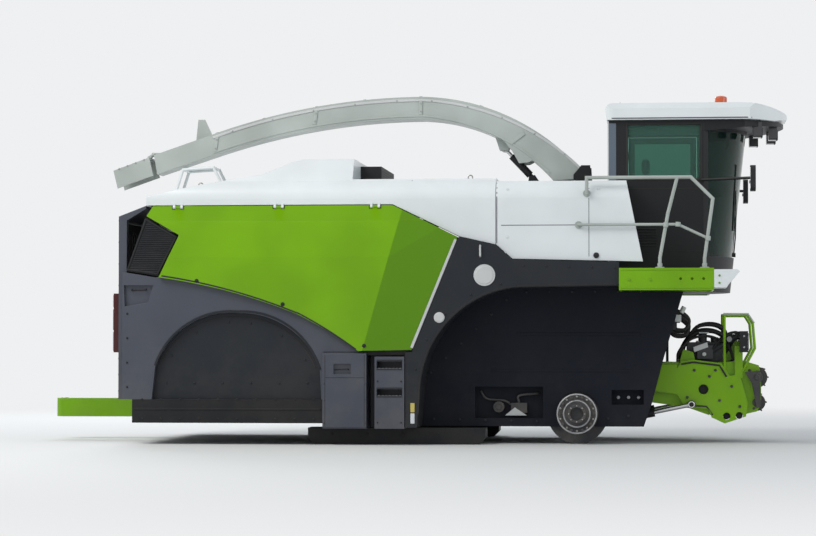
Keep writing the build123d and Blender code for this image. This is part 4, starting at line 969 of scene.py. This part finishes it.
@both_sides
def platforms(side):
    node = "platform" + suffixes[side]
    skin = Skin(node, side, "top")
    treads = Draft(side)
    for i in range(16):
        for k in range(9):
            x, y = 0.47 + i * 0.052, 0.88 + k * 0.062 + (0.031 if i % 2 else 0.0)
            place = skin.place(x, y)
            if place is None or place[2] < platform_top:
                continue
            z = place[2] - 0.001
            lean, wide = side * (0.012 if (i + k) % 2 else -0.012), side * 0.004
            treads.slab([(x - 0.014, y - lean, z), (x + 0.014, y + lean, z), (x + 0.014, y + lean + wide, z),
                         (x - 0.014, y - lean + wide, z)], (0, 0, 0.004))
    treads.put("platform_treads", "grey_paint")
    outer = Skin(node, side)
    Draft(side).band(outer, 0.01, 0.003, [(0.435, 1.522), (1.315, 1.522)]).band(
        outer, 0.008, 0.003, [(0.435, 1.695), (1.315, 1.695)]).put("platform_edges", "lime_paint", 0.001)
    Draft(side).rows_on(outer, 0.012, ((0.52, 1.6), (0.72, 1.6), 2)).rows_on(
        Skin("platform_ends", side), 0.01, ((1.38, 1.64), (1.38, 1.57), 2)).put(
        "platform_bolts", "lime_paint")


platform_top = 1.6
rail_y = 1.45
rail_feet = {-1: (1.24, 0.812), 1: (1.306,)}


@both_sides
def rail_fittings(side):
    feet = Draft(side)
    for x in rail_feet[side]:
        feet.box((x - 0.045, rail_y - 0.04, 1.713), (x + 0.045, rail_y + 0.04, 1.722))
        feet.rod((x, rail_y, 1.72), (x, rail_y, 1.76), 0.024)
        for dx in (-0.032, 0.032):
            feet.bolt((x + dx, rail_y - 0.028, 1.722), (0, 0, 1), 0.007)
    feet.put("rail_feet", "spout_paint", 0.001)


def rail_clamps():
    clamps = Draft()
    for x, z in ((0.985, 2.135), (0.868, 2.13), (1.272, 2.0)):
        clamps.rod((x, -rail_y - 0.01, z - 0.022), (x + 0.003, -rail_y - 0.01, z + 0.022), 0.024, 16)
    for x, z in ((0.11, 2.44), (0.03, 2.135)):
        clamps.disc((x, -1.414, z), -0.01, 0.001, 0.036)
    clamps.put("rail_clamps", "spout_paint", 0.001)


# Outside of the cab

def cab_outside():
    shell = Skin("cab_shell", -1)
    Draft().band(shell, 0.018, 0.004, closed_frame(0.49, 2.61, 1.222, 3.16)).put(
        "side_window_rubber", "rubber", 0.001)
    Draft().band(shell, 0.075, 0.003, [(0.345, 1.76), (0.345, 3.17)]).put(
        "rear_post_face", "post_blue", 0.001)
    Draft().band(shell, 0.01, 0.005, [(0.306, 1.76), (0.306, 3.19)]).put("rear_post_strip", "pale_plastic")
    Draft().band(shell, 0.006, 0.001, [(0.42, 2.52), (1.25, 2.52)], [(0.42, 1.9), (1.25, 1.9)]).band(
        shell, 0.01, 0.002, [(1.245, 1.76), (1.245, 3.18)]).put("cab_side_seams", "rubber")
    vents = Draft()
    for z in (1.96 + i * 0.028 for i in range(7)):
        vents.slat(0.52, 0.78, -0.799, -0.808, z, 0.012, 0.004)
    vents.put("cab_side_vents", "black_plastic")
    Draft().tube([(1.1, 0.8, 2.3), (1.1, 0.83, 2.3), (1.1, 0.83, 2.46), (1.1, 0.8, 2.46)], 0.009).box(
        (1.075, 0.798, 2.33), (1.125, 0.812, 2.43)).put("cab_door_handle", "black_plastic", 0.001, "cab_door")
    Draft().band(Skin("cab_door"), 0.016, 0.004, closed_frame(0.535, 1.825, 1.145, 3.095)).put(
        "door_glass_rubber", "rubber", 0.001, "cab_door")
    Draft().tube([(1.262, 0.795, 1.95), (1.262, 0.85, 1.97), (1.262, 0.85, 2.65), (1.262, 0.795, 2.67)],
                 0.012).put("door_grab_rail", "pale_plastic")
    wiper()
    Draft().band(Skin("cab_shell", view="rear"), 0.018, 0.004, closed_frame(-0.61, 2.63, 0.61, 3.16)).put(
        "rear_window_rubber", "rubber", 0.001)


def wiper():
    """Parked wiper: its arm and blade lie a little ahead of the windscreen."""
    glass = Skin("windscreen", view="front")
    arm = Draft()
    for gap, radius, line in ((0.01, 0.007, ((0.0, 1.885), (-0.1, 2.05), (-0.24, 2.3), (-0.34, 2.52))),
                              (0.005, 0.006, ((-0.28, 2.12), (-0.34, 2.42), (-0.38, 2.78)))):
        spots = [(glass.spot(y, z), y, z) for y, z in line]
        arm.tube([(spot.x - hub_x + gap, y, z) for spot, y, z in spots if spot is not None], radius)
    x = glass.place(0.0, 1.9)[0]
    arm.rod((x - 0.004, 0.0, 1.885), (x + 0.028, 0.0, 1.885), 0.022).put("windscreen_wiper", "rubber")


# Inside of the cab

def cab_inside():
    Draft().box((0.66, -0.56, 1.72), (1.12, -0.34, 2.18)).plate(
        -0.56, 0.22, (0.66, 2.18), (1.12, 2.18), (1.2, 2.27), (0.66, 2.25)).put(
        "side_console", "black_plastic", 0.012)
    Draft().box((0.7, -0.36, 2.34), (1.05, -0.28, 2.39)).rod(
        (0.76, -0.33, 2.24), (0.76, -0.32, 2.35), 0.018).put("arm_rest", "seat_fabric", 0.014)
    stick = Draft().rod((1.09, -0.32, 2.24), (1.1, -0.32, 2.36), 0.013)
    stick.dome((1.1, -0.32, 2.36), 0.032, 0.075, 20, 5)
    stick.rod((1.09, -0.32, 2.235), (1.09, -0.32, 2.26), 0.04, 24, 0.02).put("control_stick", "black_plastic")
    Draft().box((1.235, -0.52, 2.42), (1.255, -0.24, 2.62)).rod(
        (1.16, -0.45, 2.26), (1.245, -0.4, 2.44), 0.012).put("display_case", "black_plastic", 0.006)
    Draft().box((1.231, -0.505, 2.435), (1.236, -0.255, 2.605)).put("display_face", "lamp_lens", 0.001)
    Draft().box((0.34, -0.72, 3.165), (1.45, 0.72, 3.185)).box((0.42, -0.3, 3.135), (0.8, 0.3, 3.168)).put(
        "roof_lining", "grey_paint", 0.008)
    Draft().rod((1.5, -0.55, 3.1), (1.5, 0.55, 3.1), 0.018, 16).box(
        (1.494, -0.53, 2.97), (1.5, 0.53, 3.1)).put("sun_blind", "black_plastic", 0.001)
    Draft().box((0.36, -0.7, 1.716), (1.22, 0.7, 1.726)).boxes(
        14, (0.058, 0, 0), (0.4, -0.66, 1.725), (0.42, 0.66, 1.73)).put("floor_mat", "rubber", 0.002)


# Driver's seat

def cushion(low, high, crown, pull=0.06, rows=10):
    """Crowned pad between two corners, its sides pulled in between them."""
    mesh = bmesh.new()
    bmesh.ops.create_cube(mesh, size=2.0)
    bmesh.ops.subdivide_edges(mesh, edges=mesh.edges[:], cuts=rows, use_grid_fill=True)
    middle = (Vector(low) + Vector(high)) / 2
    half = (Vector(high) - Vector(low)) / 2
    thin = min(range(3), key=lambda axis: half[axis])
    wide = [axis for axis in range(3) if axis != thin]
    for vert in mesh.verts:
        u, v, t = vert.co[wide[0]], vert.co[wide[1]], vert.co[thin]
        puff = (1 - u ** 4) * (1 - v ** 4)
        groove = min(abs(abs(u) - 0.55), 0.06) / 0.06
        vert.co[wide[0]] = u * (1 - pull * (1 - v * v) * abs(u) ** 3 - 0.05 * t * t)
        vert.co[wide[1]] = v * (1 - pull * (1 - u * u) * abs(v) ** 3 - 0.05 * t * t)
        vert.co[thin] = t * (0.62 + crown * puff) * (0.9 + 0.1 * groove)
        vert.co = at(*(middle + Vector([vert.co[i] * half[i] for i in range(3)])))
    return mesh


def driver_seat():
    pads = []
    for name, low, high, crown in (("seat_cushion", (0.7, -0.235, 2.15), (1.16, 0.235, 2.272), 0.36),
                                   ("seat_back", (0.62, -0.225, 2.235), (0.735, 0.225, 2.7), 0.34),
                                   ("seat_head", (0.625, -0.13, 2.715), (0.715, 0.13, 2.86), 0.34)):
        pad = make_piece(cushion(low, high, crown), name, "seat_fabric")
        soft = pad.modifiers.new("smooth_pad", "SUBSURF")
        soft.levels = 1
        soft.render_levels = 1
        settle(pad, "chassis")
        pads.append(pad)
    for pad in pads:
        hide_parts("seat")
    trim = Draft()
    for y in (-0.07, 0.07):
        trim.rod((0.665, y, 2.66), (0.665, y, 2.74), 0.009, 12)
    trim.box((0.612, -0.2, 2.24), (0.628, 0.2, 2.66)).put("seat_shell", "black_plastic", 0.004)


# Roof, mirrors and lamps

beacon = (1.42, -0.6)
beacon_radius = 0.061


def roof_fittings():
    Draft().band(Skin("cab_roof", view="top"), 0.008, 0.001, closed_frame(0.55, -0.38, 1.15, 0.38)).band(
        Skin("cab_roof", view="top"), 0.006, 0.001, [(1.62, -0.72), (1.62, 0.72)]).put("roof_seams", "rubber")
    Draft().box((0.565, -0.365, 3.366), (1.135, 0.365, 3.382)).put("roof_hatch", "white_paint", 0.006)
    Draft().rod((0.42, 0.55, 3.368), (0.42, 0.55, 3.395), 0.022, 20, 0.014).rod(
        (0.42, 0.55, 3.39), (0.4, 0.55, 3.5), 0.003, 10).put("roof_aerial", "rubber")
    Draft().rod((*beacon, 3.372), (*beacon, 3.428), beacon_radius, 32).dome(
        (*beacon, 3.428), beacon_radius, 0.024, 32, 6).put("beacon_dome", "amber_lens")
    Draft().rod((*beacon, 3.366), (*beacon, 3.378), 0.07, 32).put("beacon_foot", "black_plastic", 0.001)
    gutter = Draft()
    for side in suffixes:
        gutter.band(Skin("cab_roof", side), 0.01, 0.004, [(0.34, 3.215), (1.72, 3.215)])
    gutter.put("roof_gutters", "grey_paint", 0.001)


@both_sides
def mirror_faces(side):
    Draft(side).box((1.6865, 1.04, 2.49), (1.69, 1.2, 2.7)).put("mirror_glass", "mirror_glass", 0.001)
    Draft(side).rod((1.7, 1.12, 2.545), (1.7, 1.12, 2.575), 0.02, 16).rod(
        (1.742, 1.12, 2.595), (1.738, 1.12, 2.595), 0.03, 24).put("mirror_clamp", "rubber")


lamp_depth = 0.085
lamp_feet = ((1.735, -0.6), (1.9, -0.25), (1.9, 0.25), (1.735, 0.6))


def work_lights():
    lens, rims = Draft(), Draft()
    for x, y in lamp_feet:
        front = x + lamp_depth
        lens.box((front - 0.003, y - 0.07, 3.042), (front + 0.003, y + 0.07, 3.112))
        lens.boxes(5, (0, 0.027, 0), (front + 0.002, y - 0.062, 3.046), (front + 0.005, y - 0.046, 3.108))
        for left, right, foot, top in ((-0.084, 0.084, 3.03, 3.04), (-0.084, 0.084, 3.113, 3.123),
                                       (-0.084, -0.073, 3.03, 3.123), (0.073, 0.084, 3.03, 3.123)):
            rims.box((front - 0.006, y + left, foot), (front + 0.008, y + right, top))
    lens.put("work_lamp_lenses", "clear_lens", 0.001)
    rims.put("work_lamp_rims", "black_plastic", 0.001)


# Hood and white body

def hood_fittings():
    top = Skin("hood_top", view="top")
    Draft().band(top, 0.006, 0.001, *([(x, -1.3), (x, 1.3)] for x in (-1.6, -3.55)),
                 *([(-3.55, y), (-2.9, y)] for y in (-0.72, 0.72))).put("hood_seams", "rubber")
    vents = Draft()
    for u in (-3.5 + i * 0.037 for i in range(16)):
        x, _, z = top.place(u, 0.0)
        vents.plate(-0.62, 1.24, (x, z - 0.002), (x + 0.018, z + 0.007), (x + 0.022, z + 0.005),
                    (x + 0.006, z - 0.003))
    vents.put("hood_vents", "dark_mesh")
    slats = Draft()
    for x in (-2.194, -1.981):
        slats.boxes(6, (0, 0, 0.022), (x, -0.57, 2.625), (x + 0.005, 0.57, 2.631))
    slats.put("hood_box_slats", "black_plastic")


@both_sides
def lifting_eyes(side):
    eyes = Draft(side)
    for x in (-1.05, -3.75):
        z = Skin("hood_top", side, "top").place(x, 1.0)[2]
        eyes.rod((x, 1.0, z - 0.002), (x, 1.0, z + 0.01), 0.032).ring(
            (x, 1.0, z + 0.028), (0, 1, 0), 0.022, 0.006, 24)
    eyes.put("lifting_eyes", "zinc")


@both_sides
def white_body(side):
    skin = Skin("front_body", side)
    Draft(side).band(skin, 0.006, 0.0008, [(0.13, 1.83), (0.13, 2.54)]).band(
        skin, 0.007, 0.0008, [(-0.72, 2.135), (0.3, 2.135)]).band(
        skin, 0.008, 0.001, [(-0.762, 1.96), (-0.762, 2.55)]).put("body_seams", "grey_paint")
    lamp = skin.place(0.2, 1.84)
    Draft(side).disc(lamp, -0.004, 0.01, 0.028, 28).disc(lamp, 0.008, 0.013, 0.02, 28, 0.014).put(
        "body_lamp", "black_plastic", 0.001)
    latches = Draft(side)
    for x, z in ((-0.66, 2.48), (-0.66, 2.02), (0.22, 2.48)):
        place = skin.place(x, z)
        latches.disc(place, -0.003, 0.003, 0.016).disc(place, 0.002, 0.005, 0.009, 6)
    latches.put("body_latches", "white_paint")


# Discharge spout

spout_outer = (flat_arc((0.055, 2.72), (-0.525, 3.165), (-1.6, 3.475), 20)
               + flat_arc((-1.65, 3.475), (-2.7, 3.388), (-3.78, 3.112), 20))
spout_inner = (flat_arc((-0.3, 2.72), (-0.79, 3.08), (-1.6, 3.315), 16)
               + flat_arc((-1.65, 3.313), (-2.7, 3.225), (-3.78, 2.955), 20))
spout_joints = ([(-0.56, 3.13), (-0.7, 3.02)], [(-1.62, 3.47), (-1.62, 3.325)],
                [(-2.7, 3.385), (-2.72, 3.235)], [(-3.735, 3.12), (-3.76, 2.97)])
joint_bolts = ((-1.62, 3.44), (-1.62, 3.36), (-2.705, 3.35), (-2.715, 3.27), (-3.74, 3.09), (-3.755, 3.0))


@both_sides
def spout_sides(side):
    skin = Skin("spout", side)
    # The raised lip along the spout's outer edge is drawn; its pale colour is a painted highlight
    Draft(side).band(skin, 0.026, 0.007, spout_outer).put("spout_outer_edge_highlight", "pale_plastic", 0.002, "spout")
    Draft(side).band(skin, 0.02, 0.006, spout_inner).put("spout_inner_edge", "spout_paint", 0.002, "spout")
    Draft(side).band(skin, 0.034, 0.009, *spout_joints).put("spout_joints", "spout_paint", 0.002, "spout")
    Draft(side).bolts_on(skin, 0.008, [(x, z - 0.002) for x, z in spout_outer[3::4]], 0.006).bolts_on(
        skin, 0.008, joint_bolts, 0.008).put("spout_bolts", "spout_paint", 0.0, "spout")


def spout_fittings():
    ribs = Draft()
    for x in (-1.0, -1.62, -2.2, -2.7, -3.25, -3.74):
        half = 0.195 if x > -1.2 else 0.195 - 0.05 * (-1.2 - x) / 2.6
        ribs.band(Skin("spout", view="top"), 0.03, 0.006, [(x, -half), (x, half)])
    ribs.put("spout_top_ribs", "spout_paint", 0.002, "spout")
    flank = Skin("spout")
    pipes, clips = Draft(), Draft()
    for drop in (0.075, 0.099):
        line = [(x, flank.spot(x, z - drop), z - drop) for x, z in spout_outer[4:]]
        pipes.tube([(x, spot.y + 0.009, z) for x, spot, z in line if spot is not None], 0.008, 8)
    for x, z in spout_outer[6::6]:
        y = flank.spot(x, z - 0.09).y
        clips.box((x - 0.014, y - 0.004, z - 0.115), (x + 0.014, y + 0.02, z - 0.062))
    pipes.put("spout_pipes", "rubber", 0.0, "spout")
    clips.put("spout_pipe_clips", "zinc", 0.001, "spout")
    flap = Skin("spout_flap", view="top")
    Draft().band(flap, 0.018, 0.006, *([(x, -0.15), (x, 0.15)] for x in (-4.5, -4.62, -4.74))).band(
        flap, 0.012, 0.006, *([(-4.47, y), (-4.78, y)] for y in (-0.1, 0.1))).put(
        "flap_ribs", "spout_paint", 0.001, "spout_flap")


@both_sides
def flap_bolts(side):
    Draft(side).rows_on(Skin("spout_flap", side), 0.008, ((-4.5, 2.885), (-4.76, 2.795), 4)).put(
        "flap_bolts", "spout_paint", 0.0, "spout_flap")


turret_x = -0.1
tooth_ring = 0.281
turret_bolt_ring = 0.245
turret_deck = 2.66


def turret_fittings():
    teeth, bolts = Draft(), Draft()
    for x, y in around(64, tooth_ring):
        teeth.rod((turret_x + x, y, 2.58), (turret_x + x, y, 2.612), 0.007, 8)
    teeth.put("turret_teeth", "zinc", 0.0, "turret")
    skin = Skin("turret", view="top")
    bolts.bolts_on(skin, 0.012, [(turret_x + x, y) for x, y in around(14, turret_bolt_ring)
                                 if skin.place(turret_x + x, y)[2] < turret_deck])
    bolts.put("turret_bolts", "zinc", 0.0, "turret")


# Intake

@both_sides
def intake_fittings(side):
    skin = Skin("intake_housing", side)
    bolts = Draft(side)
    for x, z in ((1.36, 0.72), (1.4, 0.42), (1.52, 0.56), (1.6, 0.36), (1.15, 0.72), (1.08, 0.45),
                 (1.3, 0.66), (1.7, 0.72), (1.74, 0.34)):
        place = skin.place(x, z)
        if place is not None and place[1] > 0.4:
            bolts.bolt(place, (0, 1, 0), 0.014)
    bolts.put("intake_bolts", "cast_drive", 0.0, "intake")
    floors = Draft(side)
    for x, z, radius in ((1.24, 0.53, 0.046), (1.47, 0.262, 0.033), (1.595, 0.268, 0.033)):
        floors.disc((x, 0, z), 0.441, 0.446, radius, 32)
    floors.put("plate_hole_floors", "dark_mesh", 0.0, "intake")
    Draft(side).band(skin, 0.018, 0.01, [(1.02, 0.78), (1.14, 0.8), (1.4, 0.768), (1.47, 0.655)]).band(
        skin, 0.016, 0.01, [(1.06, 0.37), (1.27, 0.36), (1.33, 0.275)]).put(
        "plate_folds", "intake_lime_painted_light", 0.003, "intake")
    Draft(side).disc((1.77, 0, 0.65), 0.432, 0.5, 0.058, 28).disc((1.77, 0, 0.65), 0.5, 0.52, 0.03, 6).disc(
        (1.77, 0, 0.4), 0.432, 0.478, 0.046, 28).plate(
        0.482, 0.026, (1.65, 0.7), (1.8, 0.72), (1.805, 0.36), (1.765, 0.34), (1.72, 0.585)).put(
        "roller_drive", "cast_drive", 0.003, "intake")
    Draft(side).plate(0.3, 0.02, (1.48, 0.8), (1.6, 0.86), (1.64, 0.98), (1.56, 1.02), (1.5, 0.92),
                      (1.4, 0.8)).plate(0.43, 0.012, (1.0, 0.8), (1.16, 0.82), (1.14, 0.9), (1.04, 0.93)).put(
        "intake_brackets", "lime_paint", 0.003, "intake")
    Draft(side).tube([(1.44, 0.476, 1.283), (1.685, 0.476, 1.283), (1.745, 0.476, 1.19)], 0.009).put(
        "hoop_guard", "pale_plastic", 0.0, "intake")
    hoses(side)
    works = Draft(side)
    for low, high in (((1.08, 0.22, 0.795), (1.44, 0.34, 1.0)), ((1.18, 0.34, 0.83), (1.34, 0.41, 0.97)),
                      ((1.12, 0.05, 0.79), (1.46, 0.2, 0.91)), ((1.46, 0.08, 0.8), (1.58, 0.26, 1.08))):
        works.box(low, high)
    for y, (x0, z0), (x1, z1), radius, rim in (
            (0.33, (1.3, 0.9), (1.58, 1.06), 0.03, 24), (0.33, (1.5, 1.015), (1.645, 1.1), 0.014, 16),
            (0.26, (1.24, 1.0), (1.24, 1.09), 0.04, 24), (0.28, (1.36, 1.0), (1.36, 1.05), 0.034, 24)):
        works.rod((x0, y, z0), (x1, y, z1), radius, rim)
    works.disc((1.42, 0, 0.79), 0.24, 0.4, 0.03).put("intake_valves", "cast_drive", 0.004, "intake")
    bright = Draft(side).plate(0.415, 0.006, (1.15, 0.9), (1.29, 0.95), (1.28, 1.0), (1.14, 0.95))
    bright.box((1.2, 0.28, 1.088), (1.3, 0.36, 1.1))
    bright.bolts((1.19, 0.28, 1.0), (1.41, 0.28, 1.0), 5, (0, 0, 1), 0.016)
    bright.disc((1.25, 0, 0.88), 0.41, 0.425, 0.022, 6).disc((1.5, 0, 1.03), 0.345, 0.372, 0.028, 20)
    bright.bolts((1.64, 0.601, 0.95), (1.64, 0.601, 1.06), 2, (0, 1, 0), 0.01)
    bright.put("intake_bright", "pale_plastic", 0.001, "intake")
    Draft(side).box((1.684, 0.49, 0.93), (1.69, 0.585, 1.08)).put(
        "header_pads", "bare_steel", 0.001, "intake")


beam_face = 1.68


def beam_bolts():
    face = Draft()
    for z in (1.08, 0.93):
        face.bolts((beam_face, -0.45, z), (beam_face, 0.45, z), 7, (1, 0, 0))
    face.put("beam_bolts", "cast_drive", 0.0, "intake")


def hoses(side):
    """Hydraulic pipes over the intake, both ends on it."""
    pipes = Draft(side)
    for y, reach, rise, radius in (
            (0.385, 0.0, 0.0, 0.013), (0.35, 0.03, 0.05, 0.013), (0.3, 0.05, 0.11, 0.014),
            (0.24, 0.02, 0.07, 0.012), (0.19, 0.06, 0.13, 0.012), (0.12, 0.04, 0.04, 0.012)):
        pipes.hose(radius, (0.99 + reach, y, 0.79), (1.0 + reach, y, 0.9 + rise / 2),
                   (1.12 + reach, y - 0.01, 1.03 + rise), (1.3 + reach, y - 0.015, 1.06 + rise),
                   (1.47, y, 0.98 + rise), (1.53, y + 0.01, 0.86), (1.545, y + 0.01, 0.77))
    pipes.hose(0.013, (1.33, 0.4, 0.93), (1.42, 0.42, 1.03), (1.55, 0.42, 1.1), (1.62, 0.41, 1.06),
               (1.63, 0.4, 0.98))
    pipes.put("intake_pipes", "rubber", 0.0, "intake")
    ends = Draft(side)
    for x, y, z in ((0.99, 0.385, 0.8), (1.02, 0.35, 0.8), (1.04, 0.3, 0.8), (1.55, 0.395, 0.79)):
        ends.rod((x, y, z - 0.02), (x, y, z + 0.03), 0.018, 6)
    ends.put("pipe_ends", "zinc", 0.001, "intake")


@both_sides
def bay_hoses(side):
    """Hoses and fittings below the cab's floor, in front of the arch wall."""
    lines = Draft(side)
    for y, drop in ((0.8, 0.0), (0.72, 0.05), (0.62, 0.02), (0.52, 0.07)):
        lines.hose(0.014, (0.7, y, 1.36), (0.86, y, 1.33), (1.02, y - 0.02, 1.3 - drop),
                   (1.1, y - 0.04, 1.22 - drop), (1.06, y - 0.06, 1.13 - drop), (0.94, y - 0.08, 1.14 - drop),
                   (0.88, y - 0.1, 1.2))
    lines.put("bay_hoses", "rubber")
    bits = Draft(side).rod((1.02, 0.785, 1.29), (1.05, 0.785, 1.35), 0.024)
    bits.box((0.96, 0.79, 1.2), (1.02, 0.815, 1.27))
    bits.bolts((0.72, 0.851, 1.16), (0.92, 0.851, 1.3), 4, (0, 1, 0), 0.013)
    bits.put("bay_bright", "pale_plastic", 0.001)


# Coupling beam and ladder

@both_sides
def hitch_sides(side):
    skin = Skin("hitch_beam", side, far=1.0)
    Draft(side).bolts_on(skin, 0.012, [(x, z) for x in (-4.42, -4.5) for z in (0.38, 0.28)]).put(
        "hitch_bolts", "zinc")
    Draft(side).band(skin, 0.16, 0.006, [(-4.56, 0.325), (-4.37, 0.325)]).put(
        "hitch_cheek", "lime_paint", 0.002)


def hitch_rim():
    Draft().ring((-5.36, 0.0, 0.42), (0, 0, 1), 0.034, 0.006, 32).put("hitch_bush_rim", "zinc")


def ladder_fittings():
    treads = Draft()
    for z in (0.37, 0.65, 0.93, 1.21):
        treads.boxes(10, (0.041, 0, 0), (0.48, 1.325, z + 0.029), (0.5, 1.455, z + 0.034))
    treads.put("ladder_treads", "zinc", 0.0, "ladder")


place_camera()
light_stage()
make_floor()
make_finishes()
dress_nodes()
for make in (side_panels, side_grilles, rear_door_parts, rear_wall_parts, rear_fenders, side_boxes,
             step_boxes, front_fenders, arch_walls, drive_hubs, belly, platforms, rail_fittings,
             rail_clamps, cab_outside, cab_inside, driver_seat, roof_fittings, mirror_faces, work_lights,
             hood_fittings, lifting_eyes, white_body, spout_sides, spout_fittings, flap_bolts,
             turret_fittings, intake_fittings, beam_bolts, bay_hoses, hitch_sides, hitch_rim,
             ladder_fittings):
    make()

bpy.context.scene.view_settings.view_transform = "Standard"
